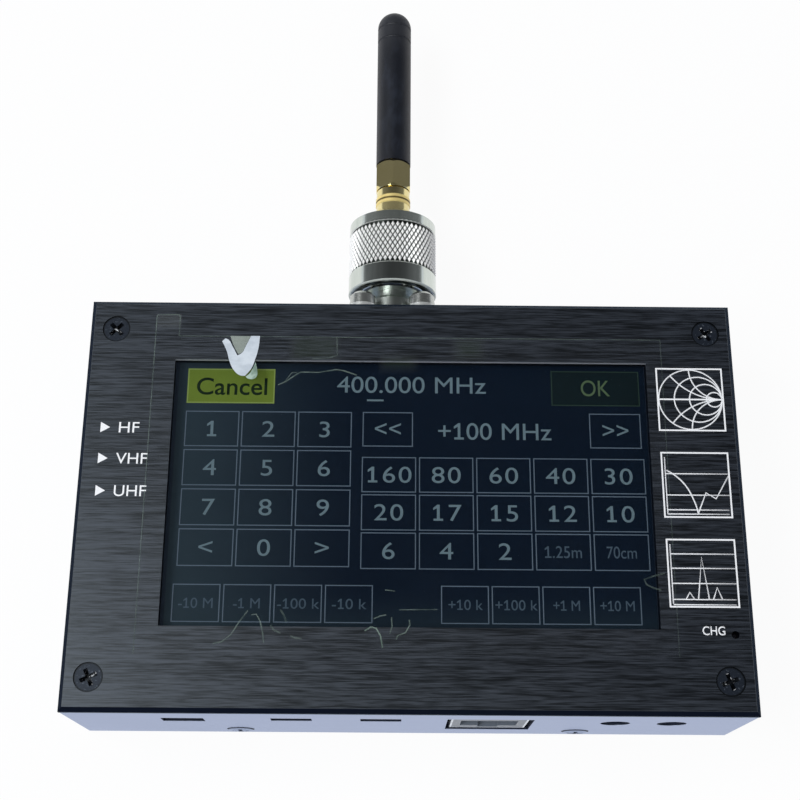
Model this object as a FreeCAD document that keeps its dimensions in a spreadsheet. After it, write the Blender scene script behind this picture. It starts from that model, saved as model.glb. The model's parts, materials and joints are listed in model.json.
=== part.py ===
import FreeCAD, Part
import os
import Sketcher

# Handheld antenna analyzer lying on its back: X to the right of the screen, Y towards the
# antenna, Z out of the front panel.  The origin is the centre of the rear cover's outer face.

doc = FreeCAD.newDocument("antenna_analyzer")
sheet = doc.addObject("Spreadsheet::Sheet", "Sizes")
nodes = []


class Size:
    """A length that keeps its number together with the sheet expression it comes from."""

    def __init__(self, text, value):
        self.text = text
        self.value = value

    def __add__(self, other):
        other = as_size(other)
        return Size(f"({self.text} + {other.text})", self.value + other.value)

    def __sub__(self, other):
        other = as_size(other)
        return Size(f"({self.text} - {other.text})", self.value - other.value)

    def __mul__(self, other):
        other = as_size(other)
        return Size(f"({self.text} * {other.text})", self.value * other.value)

    def __truediv__(self, other):
        other = as_size(other)
        return Size(f"({self.text} / {other.text})", self.value / other.value)

    def __neg__(self):
        return Size(f"(-1 * {self.text})", -self.value)


def as_size(thing):
    return thing if isinstance(thing, Size) else Size(f"{thing:g}", float(thing))


def size(name, value):
    """Writes one driving dimension into the sheet and hands it back."""
    row = size.row = getattr(size, "row", 0) + 1
    sheet.set(f"A{row}", name)
    sheet.set(f"B{row}", f"{value:g}")
    sheet.setAlias(f"B{row}", name)
    return Size(f"Sizes.{name}", float(value))


def around(middle, width):
    return (middle - width / 2, middle + width / 2)


def up_from(low, length):
    return (low, low + length)


def down_from(high, length):
    return (high - length, high)


def inset(span, margin):
    return (span[0] + margin, span[1] - margin)


zero = Size("0", 0.0)
axis_x = FreeCAD.Vector(1, 0, 0)
axis_y = FreeCAD.Vector(0, 1, 0)
axis_z = FreeCAD.Vector(0, 0, 1)


# ---------------------------------------------------------------- shared tools

def bind(target, path, length):
    target.setExpression(path, as_size(length).text)


def put(target, x, y, z, aim=None, start=axis_z):
    """Places an object at x, y, z and turns its start direction to aim."""
    if aim is not None:
        turn = FreeCAD.Rotation(start, aim)
        target.Placement = FreeCAD.Placement(FreeCAD.Vector(), turn)
    for letter, length in zip("xyz", (x, y, z)):
        bind(target, f"Placement.Base.{letter}", length)
    return target


def node(name, piece):
    """Marks a finished piece as one of the object's own sub-parts."""
    piece.Label = name
    nodes.append(piece)
    return piece


def box(x, y, z, name="block"):
    piece = doc.addObject("Part::Box", name)
    for side, (low, high) in zip(("Length", "Width", "Height"), (x, y, z)):
        bind(piece, side, high - low)
    return put(piece, x[0], y[0], z[0])


def cylinder(radius, length, place, aim=axis_z, name="round"):
    piece = doc.addObject("Part::Cylinder", name)
    bind(piece, "Radius", radius)
    bind(piece, "Height", length)
    return put(piece, *place, aim)


def cone(radius_start, radius_end, length, place, aim=axis_z):
    piece = doc.addObject("Part::Cone", "cone")
    bind(piece, "Radius1", radius_start)
    bind(piece, "Radius2", radius_end)
    bind(piece, "Height", length)
    return put(piece, *place, aim)


def hexagon(across_flats, length, place, aim=axis_z, name="hexagon"):
    piece = doc.addObject("Part::Prism", name)
    piece.Polygon = 6
    bind(piece, "Circumradius", across_flats / 3 ** 0.5)
    bind(piece, "Height", length)
    return put(piece, *place, aim)


def fuse(*pieces):
    joined = doc.addObject("Part::MultiFuse", "joined")
    joined.Shapes = list(pieces)
    return joined


def cut(base, *tools):
    result = doc.addObject("Part::Cut", "cut")
    result.Base = base
    result.Tool = tools[0] if len(tools) == 1 else fuse(*tools)
    return result


def plane(body, role):
    return [f for f in body.Origin.OriginFeatures if f.Role == role][0]


def outline(sketch, points):
    """Draws a closed outline whose corners are held by their own expressions."""
    first = sketch.GeometryCount
    spots = [FreeCAD.Vector(as_size(a).value, as_size(b).value, 0) for a, b in points]
    for i, spot in enumerate(spots):
        after = spots[(i + 1) % len(spots)]
        sketch.addGeometry(Part.LineSegment(spot, after), False)
    for i, corner in enumerate(points):
        after = first + (i + 1) % len(points)
        sketch.addConstraint(Sketcher.Constraint("Coincident", first + i, 2, after, 1))
        for kind, length in zip(("DistanceX", "DistanceY"), corner):
            rule = Sketcher.Constraint(kind, -1, 1, first + i, 1, as_size(length).value)
            bind(sketch, f"Constraints[{sketch.addConstraint(rule)}]", length)


def new_sketch(body, role, points, inner=None):
    sketch = body.newObject("Sketcher::SketchObject", "profile")
    sketch.AttachmentSupport = (plane(body, role), [""])
    sketch.MapMode = "FlatFace"
    outline(sketch, points)
    if inner:
        outline(sketch, inner)
    return sketch


def turned(points, name="turned"):
    """Turns a profile of (radius, distance) points about the piece's own Y axis."""
    body = doc.addObject("PartDesign::Body", name)
    spin = body.newObject("PartDesign::Revolution", "spin")
    spin.Profile = new_sketch(body, "XY_Plane", points)
    spin.ReferenceAxis = (spin.Profile[0], ["V_Axis"])
    spin.Angle = 360
    return body


def rectangle(x, y):
    return [(x[0], y[0]), (x[1], y[0]), (x[1], y[1]), (x[0], y[1])]


def slab(x, y, z, inner=None):
    """A flat piece, with an opening if inner gives one."""
    body = doc.addObject("PartDesign::Body", "slab")
    pad = body.newObject("PartDesign::Pad", "pad")
    hole = rectangle(*inner) if inner else None
    pad.Profile = new_sketch(body, "XY_Plane", rectangle(x, y), hole)
    bind(pad, "Length", z[1] - z[0])
    return put(body, zero, zero, z[0])


def round_corners(body, radius):
    """Rounds the outer upright edges of a slab."""
    doc.recompute()
    base = body.Tip
    limits = base.Shape.BoundBox
    upright = [
        f"Edge{i}" for i, edge in enumerate(base.Shape.Edges, 1)
        if abs(edge.tangentAt(edge.FirstParameter).z) > 0.99
        and min(edge.CenterOfMass.x - limits.XMin, limits.XMax - edge.CenterOfMass.x) < 1e-6
    ]
    fillet = body.newObject("PartDesign::Fillet", "round_edges")
    fillet.Base = (base, upright)
    bind(fillet, "Radius", radius)
    return body


def chamfer_top(body, leg):
    """Breaks the outer edges of a slab's upper face."""
    doc.recompute()
    base = body.Tip
    top = base.Shape.BoundBox.ZMax
    rim = [
        f"Edge{i}" for i, edge in enumerate(base.Shape.Edges, 1)
        if edge.BoundBox.ZMin > top - 1e-6
    ]
    chamfer = body.newObject("PartDesign::Chamfer", "broken_edge")
    chamfer.Base = (base, rim)
    bind(chamfer, "Size", leg)
    return body


def copies(source, places):
    """One group of equal, separate solids; each place is x, y, z and where Y points."""
    group = doc.addObject("Part::Compound", "group")
    links = []
    for x, y, z, aim in places:
        link = doc.addObject("App::Link", "copy")
        link.LinkedObject = source
        links.append(put(link, x, y, z, aim, axis_y))
    group.Links = links
    return group


def group_of(*pieces):
    group = doc.addObject("Part::Compound", "group")
    group.Links = list(pieces)
    return group


def cross_recess(reach, width, depth, top):
    """The tapered cross slot of a screw head, open at distance top along Y."""
    arms = []
    for long_side, short_side in (("X", "Z"), ("Z", "X")):
        arm = doc.addObject("Part::Wedge", "arm")
        for axis, half in ((long_side, reach), (short_side, width)):
            bind(arm, f"{axis}min", -half / 4)
            bind(arm, f"{axis}max", half / 4)
            bind(arm, f"{axis}2min", -half / 2)
            bind(arm, f"{axis}2max", half / 2)
        bind(arm, "Ymin", top - depth)
        bind(arm, "Ymax", top)
        arms.append(arm)
    return fuse(*arms)


def pan_screw(shank_radius, length, head_radius, head_height):
    """A pan head screw along Y: the head stands on Y = 0 and the shank goes down."""
    crown = head_height / 3
    profile = [
        (zero, -length), (shank_radius, -length), (shank_radius, zero),
        (head_radius, zero), (head_radius, head_height - crown),
        (head_radius - crown, head_height), (zero, head_height),
    ]
    slot = cross_recess(head_radius * 1.2, head_radius * 0.3, head_height * 0.6, head_height)
    return cut(turned(profile), slot)


# ---------------------------------------------------------------- driving dimensions

case_width = size("case_width", 140)
case_height = size("case_height", 89)
case_depth = size("case_depth", 32)
wall = size("case_wall", 2)
panel_thick = size("panel_thick", 2)
cover_thick = size("cover_thick", 1.6)
corner_radius = size("corner_radius", 0.3)
edge_chamfer = size("edge_chamfer", 0.95)
slack = size("fitting_gap", 0.3)
shaft_gap = size("running_gap", 0.05)
screw_gap = size("screw_gap", 0.05)

half_width = case_width / 2
half_height = case_height / 2
inner_x = half_width - wall
inner_y = half_height - wall
panel_under = case_depth - panel_thick

window_margin_left = size("window_margin_left", 18.95)
window_margin_right = size("window_margin_right", 19.15)
window_x = (window_margin_left - half_width, half_width - window_margin_right)
window_margin_bottom = size("window_margin_bottom", 17.2)
window_margin_top = size("window_margin_top", 13.8)
window_y = (window_margin_bottom - half_height, half_height - window_margin_top)

screw_radius = size("screw_radius", 1.45)
corner_screw_inset_x = size("corner_screw_inset_x", 5.7)
corner_screw_x = half_width - corner_screw_inset_x
corner_screw_inset_y = size("corner_screw_inset_y", 6.8)
corner_screw_y = half_height - corner_screw_inset_y
sunk_head_radius = size("sunk_head_radius", 2.95)
sunk_head_depth = size("sunk_head_depth", 1.6)
corner_screw_length = size("corner_screw_length", 9)
corner_screw_sink = size("corner_screw_sink", 0.25)
corner_screw_turns = (25, 45, 20, 35)  # degrees about each screw's own axis
post_radius = size("corner_post_radius", 3.7)
post_length = size("corner_post_length", 16)
led_inset_x = size("led_inset_x", 4.1)
led_x = half_width - led_inset_x
led_inset_y = size("led_inset_y", 16.2)
led_y = led_inset_y - half_height
led_hole_radius = size("led_hole_radius", 0.8)

pan_head_radius = size("pan_head_radius", 2.9)
pan_head_height = size("pan_head_height", 2.3)
cover_screw_inset_x = size("cover_screw_inset_x", 33.9)
cover_screw_x = half_width - cover_screw_inset_x
cover_screw_z = size("cover_screw_height", 5.3)
cover_screw_length = size("cover_screw_length", 5)
cover_screw_crown = size("cover_screw_crown", 0.5)
tab_width = size("cover_tab_width", 12)
tab_height = size("cover_tab_height", 9)
tab_thick = size("cover_tab_thick", 2)

# The display stack hangs below the front panel, and the main board below that.
gasket_thick = size("gasket_thick", 0.3)
gasket_lip = size("gasket_lip", 0.6)
glass_lap_x = size("glass_lap_x", 1.8)
glass_lap_y = size("glass_lap_y", 4.6)
glass_thick = size("glass_thick", 1.2)
lcd_thick = size("lcd_thick", 1.6)
guide_thick = size("light_guide_thick", 1.9)
tray_floor = size("tray_floor", 0.6)
tray_wall = size("tray_wall", 0.9)
gasket_under = panel_under - gasket_thick
glass_under = gasket_under - glass_thick
lcd_under = glass_under - lcd_thick
guide_under = lcd_under - guide_thick
board_top = guide_under - tray_floor
board_thick = size("board_thick", 1.6)
board_under = board_top - board_thick
board_south = slack - inner_y
board_north = corner_screw_y - post_radius - slack

film_thick = size("film_thick", 0.1)
film_lap_left = size("film_lap_left", 4.15)
film_left = window_x[0] - film_lap_left
film_lap_right = size("film_lap_right", 3.45)
film_right = window_x[1] + film_lap_right
film_lap_top = size("film_lap_top", 5.5)
film_top = window_y[1] + film_lap_top
film_lap_bottom = size("film_lap_bottom", 5.7)
film_bottom = window_y[0] - film_lap_bottom
film_tab_width = size("film_tab_width", 5.5)
film_tab_height = size("film_tab_height", 5)

glass_x = (window_x[0] - glass_lap_x, window_x[1] + glass_lap_x)
glass_y = (window_y[0] - glass_lap_y, window_y[1] + glass_lap_y)
stand_flats = size("standoff_across_flats", 5.5)
stand_glass_gap = size("standoff_glass_gap", 3.85)
stand_edge_gap = size("standoff_edge_gap", 3.5)
stand_x = (glass_x[0] - stand_glass_gap, glass_x[1] + stand_glass_gap)
board_x = (stand_x[0] - stand_edge_gap, stand_x[1] + stand_edge_gap)
board_screw_length = size("board_screw_length", 6)
board_head_radius = size("board_head_radius", 2.5)
board_head_height = size("board_head_height", 1.8)

# Sockets along the south edge of the main board, placed from the right to the left.
audio_inset_x = size("audio_inset_x", 15.6)
jack_right_x = half_width - audio_inset_x
audio_pitch = size("audio_pitch", 11.7)
jack_left_x = jack_right_x - audio_pitch
ethernet_pitch = size("ethernet_pitch", 25.95)
lan_x = jack_left_x - ethernet_pitch
micro_usb_right_pitch = size("micro_usb_right_pitch", 22.55)
micro_right_x = lan_x - micro_usb_right_pitch
micro_usb_left_pitch = size("micro_usb_left_pitch", 18.4)
micro_left_x = micro_right_x - micro_usb_left_pitch
mini_usb_inset_x = size("mini_usb_inset_x", 23.5)
mini_x = mini_usb_inset_x - half_width
mini_width = size("mini_usb_width", 7.7)
mini_height = size("mini_usb_height", 3.9)
micro_width = size("micro_usb_width", 7.4)
micro_height = size("micro_usb_height", 2.7)
usb_length = size("usb_socket_length", 7)
usb_wall = size("usb_shell_thick", 0.35)
usb_recess = size("usb_recess", 0.7)
port_margin = size("port_margin", 0.5)
mini_port_drop = size("mini_port_drop", 0.4)
jack_width = size("audio_body_width", 7)
jack_height = size("audio_body_height", 7.2)
jack_length = size("audio_body_length", 12)
jack_nose_radius = size("audio_nose_radius", 2.7)
jack_bore_radius = size("audio_bore_radius", 1.8)
jack_hole_radius = size("audio_hole_radius", 3.05)
lan_width = size("ethernet_width", 16)
lan_height = size("ethernet_height", 14.2)
lan_length = size("ethernet_length", 16.5)
lan_shell = size("ethernet_shell_thick", 0.4)
lan_margin = size("ethernet_margin", 0.9)
lan_mouth_width = size("ethernet_mouth_width", 11.8)
lan_mouth_height = size("ethernet_mouth_height", 7.2)
lan_mouth_depth = size("ethernet_mouth_depth", 12)
lan_latch_width = size("ethernet_latch_width", 4.2)
lan_latch_height = size("ethernet_latch_height", 2.2)
lan_pin_pitch = size("ethernet_pin_pitch", 1.02)
lan_pin_width = size("ethernet_pin_width", 0.4)
lan_pins = 8
standoff_jack_gap = size("standoff_jack_gap", 3.2)
stand_south = board_south + jack_length + standoff_jack_gap
stand_north = board_north - stand_edge_gap
chip_row_inset = size("chip_row_inset", 20.2)
chip_y = board_south + chip_row_inset
processor = size("processor_side", 14)
memory = size("memory_side", 8)
package = size("package_thick", 1.3)
card_y = size("card_offset_y", 7)
card_width = size("card_width", 11)
card_length = size("card_length", 15)
card_thick = size("card_thick", 0.8)
card_proud = size("card_proud", 2)
slot_thick = size("card_slot_thick", 1.9)
slot_side = size("card_slot_side", 1.6)

# Radio board, battery and charger in the rear half of the case.
header_height = size("header_height", 8.5)
header_width = size("header_width", 2.5)
header_length = size("header_length", 38)
header_x = size("header_offset_x", 24.1)
pin_strip_height = size("pin_strip_height", 2.5)
radio_width = size("radio_board_width", 54)
radio_length = size("radio_board_length", 42)
radio_board_inset = size("radio_board_inset", 16.5)
radio_north = half_height - radio_board_inset
radio_south = radio_north - radio_length
shield_width = size("shield_width", 40)
shield_length = size("shield_length", 30)
shield_height = size("shield_height", 4)
shield_wall = size("shield_wall", 0.3)
radio_top = board_under - header_height - pin_strip_height
radio_under = radio_top - board_thick
header_middle = radio_north - radio_length / 2
battery_thick = size("battery_thick", 10)
battery_pad_thick = size("battery_pad_thick", 0.5)
battery_pad_inset = size("battery_pad_inset", 5)
battery_gap = size("battery_gap", 1)
battery_stand_gap = size("battery_standoff_gap", 3.6)
battery_y = (stand_south + battery_stand_gap, stand_north - battery_stand_gap)
battery_round = size("battery_corner_radius", 2)
charger_board_inset = size("charger_board_inset", 9.5)
charger_south = charger_board_inset - inner_y
charger_length = size("charger_board_length", 18)
charger_low = size("charger_board_low", 3.5)
charger_thick = size("charger_board_thick", 1.2)
led_radius = size("led_radius", 1.5)
led_height = size("led_height", 4.4)
led_leg = size("led_leg_side", 0.5)
led_leg_spread = size("led_leg_spread", 2.54)
led_leg_length = size("led_leg_length", 2.3)
led_leg_lap = size("led_leg_lap", 2)
led_base = panel_under - slack - led_height
charger_high = led_base - led_leg_length
lead_radius = size("battery_lead_radius", 0.65)
battery_lead_inset = size("battery_lead_inset", 3.4)
lead_y = battery_y[0] + battery_lead_inset
lead_low = size("battery_lead_low", 5.6)
lead_pitch = size("battery_lead_pitch", 2)
plug_thick = size("battery_plug_thick", 2.6)
plug_side = size("battery_plug_side", 5.6)

# Slide switch in the east wall.
switch_y = size("switch_offset_y", 12)
switch_drop = size("switch_drop", 16)
switch_z = case_depth - switch_drop
switch_length = size("switch_body_length", 14)
switch_width = size("switch_body_width", 6.4)
switch_deep = size("switch_body_deep", 7.5)
battery_x = (radio_width / 2 + battery_gap, inner_x - switch_deep - battery_gap)
ear_thick = size("switch_ear_thick", 0.8)
ear_pitch = size("switch_ear_pitch", 19)
ear_margin = size("switch_ear_margin", 2.6)
knob_length = size("switch_knob_length", 4.6)
knob_width = size("switch_knob_width", 3.6)
knob_proud = size("switch_knob_proud", 1.6)
knob_deep = size("switch_knob_deep", 3)
knob_travel = size("switch_knob_travel", 4)
switch_lead_radius = size("switch_lead_radius", 0.5)
switch_lead_pitch = size("switch_lead_pitch", 3)
switch_lead_lap = size("switch_lead_lap", 2)
small_screw_radius = size("small_screw_radius", 0.95)
small_head_radius = size("small_head_radius", 1.9)
small_head_height = size("small_head_height", 1.3)

# Coaxial connectors on the north wall: distances run outwards from the wall's outer face.
coax_x = size("coax_offset_x", -4.2)
coax_drop = size("coax_drop", 16)
coax_z = case_depth - coax_drop
flange_side = size("flange_side", 18)
flange_thick = size("flange_thick", 2.2)
flange_pitch = size("flange_hole_pitch", 13.4)
flange_screw_length = size("flange_screw_length", 9)
washer_radius = size("washer_radius", 3.3)
washer_thick = size("washer_thick", 0.8)
spring_washer_radius = size("spring_washer_radius", 3)
spring_washer_thick = size("spring_washer_thick", 0.85)
flange_nut_flats = size("flange_nut_across_flats", 5.5)
flange_nut_thick = size("flange_nut_thick", 2.4)
hub_radius = size("socket_hub_radius", 5.8)
hub_end = size("socket_hub_end", 7)
neck_radius = size("socket_neck_radius", 5)
barrel_radius = size("socket_barrel_radius", 7.9)
barrel_start = size("socket_barrel_start", 9.2)
socket_face = size("socket_face", 17.5)
socket_tail = size("socket_tail", 5)
socket_bore = size("socket_bore_radius", 4.3)
socket_floor = size("socket_bore_floor", 9)
dielectric_radius = size("socket_dielectric_radius", 3.5)
contact_radius = size("contact_radius", 1.5)
contact_bore = size("contact_bore_radius", 0.9)
contact_tip = size("contact_tip", 15)
stem_radius = size("contact_stem_radius", 0.8)
stem_tail = size("contact_stem_tail", 9)

seal_thick = size("seal_thick", 0.8)
seal_inner = size("seal_inner_radius", 4.4)
seal_outer = size("seal_outer_radius", 7.2)
collar_thick = size("plug_collar_thick", 4.3)
collar_radius = size("plug_collar_radius", 7.5)
shaft_radius = size("plug_shaft_radius", 6.5)
shaft_end = size("plug_shaft_end", 28.2)
nose_start = size("plug_nose_start", 28.7)
nose_end = size("plug_nose_end", 28.9)
nose_radius = size("plug_nose_radius", 5.2)
ferrule_radius = size("plug_ferrule_radius", 4)
ferrule_tip = size("plug_ferrule_tip", 10)
plug_bore = size("plug_bore_radius", 3.4)
ring_start = size("snap_ring_start", 25.1)
ring_thick = size("snap_ring_thick", 0.8)
ring_depth = size("snap_ring_groove_depth", 0.5)
ring_proud = size("snap_ring_proud", 0.45)

nut_start = size("nut_start", 8.4)
nut_radius = size("nut_radius", 10.2)
nut_end = size("nut_end", 28.2)
nut_knurl_start = size("nut_knurl_start", 13.2)
nut_knurl_drop = size("nut_knurl_drop", 0.1)
nut_shoulder = size("nut_shoulder_start", 26.2)
nut_end_radius = size("nut_end_radius", 6.95)
nut_bevel = size("nut_bevel", 0.35)

sma_tail = size("sma_tail_start", 27.5)
sma_neck = size("sma_neck_radius", 3.93)
sma_ring_start = size("sma_ring_start", 31.7)
sma_ring_radius = size("sma_ring_radius", 4.1)
sma_ring_end = size("sma_ring_end", 33.8)
sma_ring_slope = size("sma_ring_slope", 0.17)
sma_thread_start = size("sma_thread_start", 35.6)
sma_thread_radius = size("sma_thread_radius", 3.1)
sma_face = size("sma_face", 41)
sma_bore = size("sma_bore_radius", 2.35)
sma_dielectric = size("sma_dielectric_radius", 2)
pin_radius = size("adaptor_pin_radius", 1)
pin_tip_radius = size("adaptor_pin_tip_radius", 0.8)
pin_tip = size("adaptor_pin_tip", 10.6)
pin_socket_start = size("adaptor_pin_socket_start", 34)
pin_socket_end = size("adaptor_pin_socket_end", 40.2)
pin_socket_radius = size("adaptor_pin_socket_radius", 0.7)
pin_socket_bore = size("adaptor_pin_socket_bore", 0.5)
pin_socket_depth = size("adaptor_pin_socket_depth", 3)
plastic_start = size("adaptor_dielectric_start", 15)

hex_flats = size("sma_nut_across_flats", 8)
hex_start = size("sma_nut_start", 35.9)
hex_end = size("sma_nut_end", 42.7)
hex_turn = 30  # degrees, so that a corner of the nut is on top
whip_flange = size("whip_flange_thick", 0.5)
whip_shaft = size("whip_shaft_radius", 2.6)
whip_sleeve = size("whip_sleeve_radius", 2.05)
whip_bore = size("whip_bore_radius", 1.5)
whip_tip = size("whip_sleeve_tip", 37)
whip_pin_radius = size("whip_pin_radius", 0.4)
sheath_start = size("sheath_start", 43.1)
sheath_end = size("sheath_end", 86.1)
sheath_radius = size("sheath_radius", 4.13)
whip_base_radius = size("whip_base_radius", 3.2)
whip_base_end = size("whip_base_end", 49.5)
coil_outer = size("coil_outer_radius", 2.4)
coil_inner = size("coil_inner_radius", 1.9)
coil_end = size("coil_end", 79)
sheath_groove_near = size("sheath_groove_near", 77.6)
sheath_groove_far = size("sheath_groove_far", 81.2)
sheath_groove_wire = size("sheath_groove_wire", 0.35)

north = half_height
doc.recompute()


# ---------------------------------------------------------------- case

def corner_screw_places(z):
    return [
        (corner_screw_x * side, corner_screw_y * end, z, axis_z)
        for side in (-1, 1) for end in (-1, 1)
    ]


def front_panel():
    plate = slab(
        (-half_width, half_width), (-half_height, half_height), (panel_under, case_depth))
    chamfer_top(plate, edge_chamfer)
    tools = [
        box(window_x, window_y, (panel_under, case_depth)),
        cylinder(led_hole_radius, panel_thick, (led_x, led_y, panel_under)),
    ]
    room = sunk_head_radius + screw_gap
    for x, y, z, aim in corner_screw_places(case_depth - corner_screw_sink):
        tools.append(cylinder(screw_radius + screw_gap, panel_thick, (x, y, panel_under)))
        tools.append(cone(
            screw_radius + screw_gap, room, sunk_head_depth, (x, y, z - sunk_head_depth)))
        tools.append(cylinder(room, corner_screw_sink, (x, y, z)))
    node("front_panel", cut(plate, *tools))


def port_openings():
    """Cutters through the south wall, one for each socket behind it."""
    through = (-half_height, -inner_y)
    tools = []
    for x, width, height, drop in (
        (mini_x, mini_width, mini_height, mini_port_drop),
        (micro_left_x, micro_width, micro_height, zero),
        (micro_right_x, micro_width, micro_height, zero),
    ):
        z = around(board_under - height / 2 - drop, height + port_margin * 2)
        tools.append(box(around(x, width + port_margin * 2), through, z))
    tools.append(box(
        around(lan_x, lan_width + lan_margin * 2), through,
        around(board_under - lan_height / 2, lan_height + lan_margin * 2),
    ))
    for x in (jack_left_x, jack_right_x):
        place = (x, -half_height, board_under - jack_height / 2)
        tools.append(cylinder(jack_hole_radius, wall, place, axis_y))
    return tools


def case_frame():
    ring = slab(
        (-half_width, half_width), (-half_height, half_height), (cover_thick, panel_under),
        inner=((-inner_x, inner_x), (-inner_y, inner_y)),
    )
    pieces = [round_corners(ring, corner_radius)]
    tools = port_openings()
    for x, y, z, aim in corner_screw_places(panel_under):
        low = panel_under - post_length
        post = cylinder(post_radius, post_length, (x, y, low))
        inward = -1 if x.value > 0 else 1
        rib_x = (x, inner_x) if inward < 0 else (-inner_x, x)
        rib_y = (y, inner_y) if y.value > 0 else (-inner_y, y)
        rib = box(rib_x, rib_y, (low, panel_under))
        pieces += [post, rib]
        deep = corner_screw_length + corner_screw_sink - panel_thick + slack
        tools.append(cylinder(screw_radius + screw_gap, deep, (x, y, panel_under - deep)))
    shank = screw_radius + screw_gap
    for x in (-cover_screw_x, cover_screw_x):
        for y, inward in ((-half_height, axis_y), (half_height, -axis_y)):
            place = (x, y, cover_screw_z)
            tools.append(cylinder(shank, wall, place, inward))
            tools.append(cone(
                sunk_head_radius + screw_gap, shank, sunk_head_depth, place, inward))
    tools.append(cylinder(hub_radius + slack, wall, (coax_x, inner_y, coax_z), axis_y))
    for x, z in flange_hole_places():
        tools.append(cylinder(screw_radius + screw_gap, wall, (x, inner_y, z), axis_y))
    middle = switch_y + knob_travel / 2
    tools.append(box(
        (inner_x, half_width), around(middle, knob_length + knob_travel + slack * 2),
        around(switch_z, knob_width + slack * 2),
    ))
    for y in around(middle, ear_pitch):
        place = (inner_x, y, switch_z)
        tools.append(cylinder(small_screw_radius + screw_gap, wall, place, axis_x))
    node("case_frame", cut(fuse(*pieces), *tools))


def rear_cover():
    """The whole rear face, with four bent tabs inside the frame for the side screws."""
    floor = slab(
        (-half_width, half_width), (-half_height, half_height), (zero, cover_thick))
    pieces = [round_corners(floor, corner_radius)]
    tools = []
    for x in (-cover_screw_x, cover_screw_x):
        for y in ((-inner_y, tab_thick - inner_y), (inner_y - tab_thick, inner_y)):
            pieces.append(box(around(x, tab_width), y, (zero, tab_height)))
            place = (x, y[0], cover_screw_z)
            tools.append(cylinder(screw_radius + screw_gap, tab_thick, place, axis_y))
    node("rear_cover", cut(fuse(*pieces), *tools))


def sunk_screw(length, top):
    """A countersunk screw along Y: the rim of its head is at Y = 0, under the given top."""
    profile = [(zero, -length), (screw_radius, -length), (screw_radius, -sunk_head_depth)]
    profile += [(sunk_head_radius, zero)] + top
    height = top[-1][1]
    slot = cross_recess(
        sunk_head_radius * 1.25, sunk_head_radius * 0.3, height + sunk_head_depth * 0.75,
        height,
    )
    return cut(turned(profile), slot)


def case_screws():
    flat = sunk_screw(corner_screw_length, [(zero, zero)])
    screws = copies(flat, corner_screw_places(case_depth - corner_screw_sink))
    for screw, turn in zip(screws.Links, corner_screw_turns):
        aim = screw.Placement.Rotation.multiply(FreeCAD.Rotation(axis_y, turn))
        screw.Placement = FreeCAD.Placement(screw.Placement.Base, aim)
    node("front_screws", screws)
    raised = sunk_screw(cover_screw_length, [
        (sunk_head_radius * 0.85, cover_screw_crown * 0.4),
        (sunk_head_radius * 0.5, cover_screw_crown * 0.85), (zero, cover_screw_crown),
    ])
    places = []
    for x in (-cover_screw_x, cover_screw_x):
        places.append((x, -half_height, cover_screw_z, -axis_y))
        places.append((x, half_height, cover_screw_z, axis_y))
    node("cover_screws", copies(raised, places))


# ---------------------------------------------------------------- display

def display():
    inside_x = inset(glass_x, tray_wall)
    inside_y = inset(glass_y, tray_wall)
    lip_x = inset(window_x, -gasket_lip)
    lip_y = inset(window_y, -gasket_lip)
    gasket = box(glass_x, glass_y, (gasket_under, panel_under))
    node("display_gasket", cut(gasket, box(lip_x, lip_y, (gasket_under, panel_under))))
    node("touch_glass", box(glass_x, glass_y, (glass_under, gasket_under)))
    node("lcd_panel", box(inside_x, inside_y, (lcd_under, glass_under)))
    node("light_guide", box(inside_x, inside_y, (guide_under, lcd_under)))
    tray = box(glass_x, glass_y, (board_top, glass_under))
    node("lcd_tray", cut(tray, box(inside_x, inside_y, (guide_under, glass_under))))
    film = doc.addObject("PartDesign::Body", "film")
    pad = film.newObject("PartDesign::Pad", "pad")
    tab_right = film_left + film_tab_width
    pad.Profile = new_sketch(film, "XY_Plane", [
        (film_left, film_bottom), (film_right, film_bottom), (film_right, film_top),
        (tab_right, film_top), (tab_right, film_top + film_tab_height),
        (film_left, film_top + film_tab_height),
    ])
    bind(pad, "Length", film_thick)
    node("protective_film", put(film, zero, zero, case_depth))


# ---------------------------------------------------------------- main board

def stand_places(z):
    return [(x, y, z, axis_z) for x in stand_x for y in (stand_south, stand_north)]


def main_board():
    board = box(board_x, (board_south, board_north), (board_under, board_top))
    holes = [
        cylinder(screw_radius + slack, board_thick, (x, y, board_under))
        for x, y, z, aim in stand_places(board_under)
    ]
    node("main_board", cut(board, *holes))
    chips = []
    for x, side in ((-processor * 2, memory), (-processor, processor), (zero, memory)):
        chips.append(box(around(x, side), around(chip_y, side), down_from(board_under, package)))
    node("board_chips", group_of(*chips))
    stand = hexagon(
        stand_flats, board_under - cover_thick, (zero, zero, zero), axis_y)
    bore = cylinder(
        screw_radius + screw_gap, board_under - cover_thick, (zero, zero, zero), axis_y)
    node("board_standoffs", copies(cut(stand, bore), stand_places(cover_thick)))
    screw = pan_screw(
        screw_radius, board_screw_length, board_head_radius, board_head_height)
    node("board_screws", copies(screw, stand_places(board_top)))
    headers = [
        box(around(x, header_width), around(header_middle, header_length),
            down_from(board_under, header_height))
        for x in (-header_x, header_x)
    ]
    node("board_headers", group_of(*headers))


def usb_socket(x, width, height, tongue_thick):
    """A bent metal shell, open to the south, with its plastic tongue."""
    front = -(half_height - usb_recess)
    low = board_under - height
    shell = box(around(x, width), up_from(front, usb_length), (low, board_under))
    hollow = box(
        around(x, width - usb_wall * 2), up_from(front, usb_length - usb_wall * 3),
        (low + usb_wall, board_under - usb_wall),
    )
    tongue = box(
        around(x, width - usb_wall * 8),
        (front + usb_wall * 2, front + usb_length - usb_wall * 3),
        around(board_under - height / 2, tongue_thick),
    )
    return fuse(cut(shell, hollow), tongue)


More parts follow.
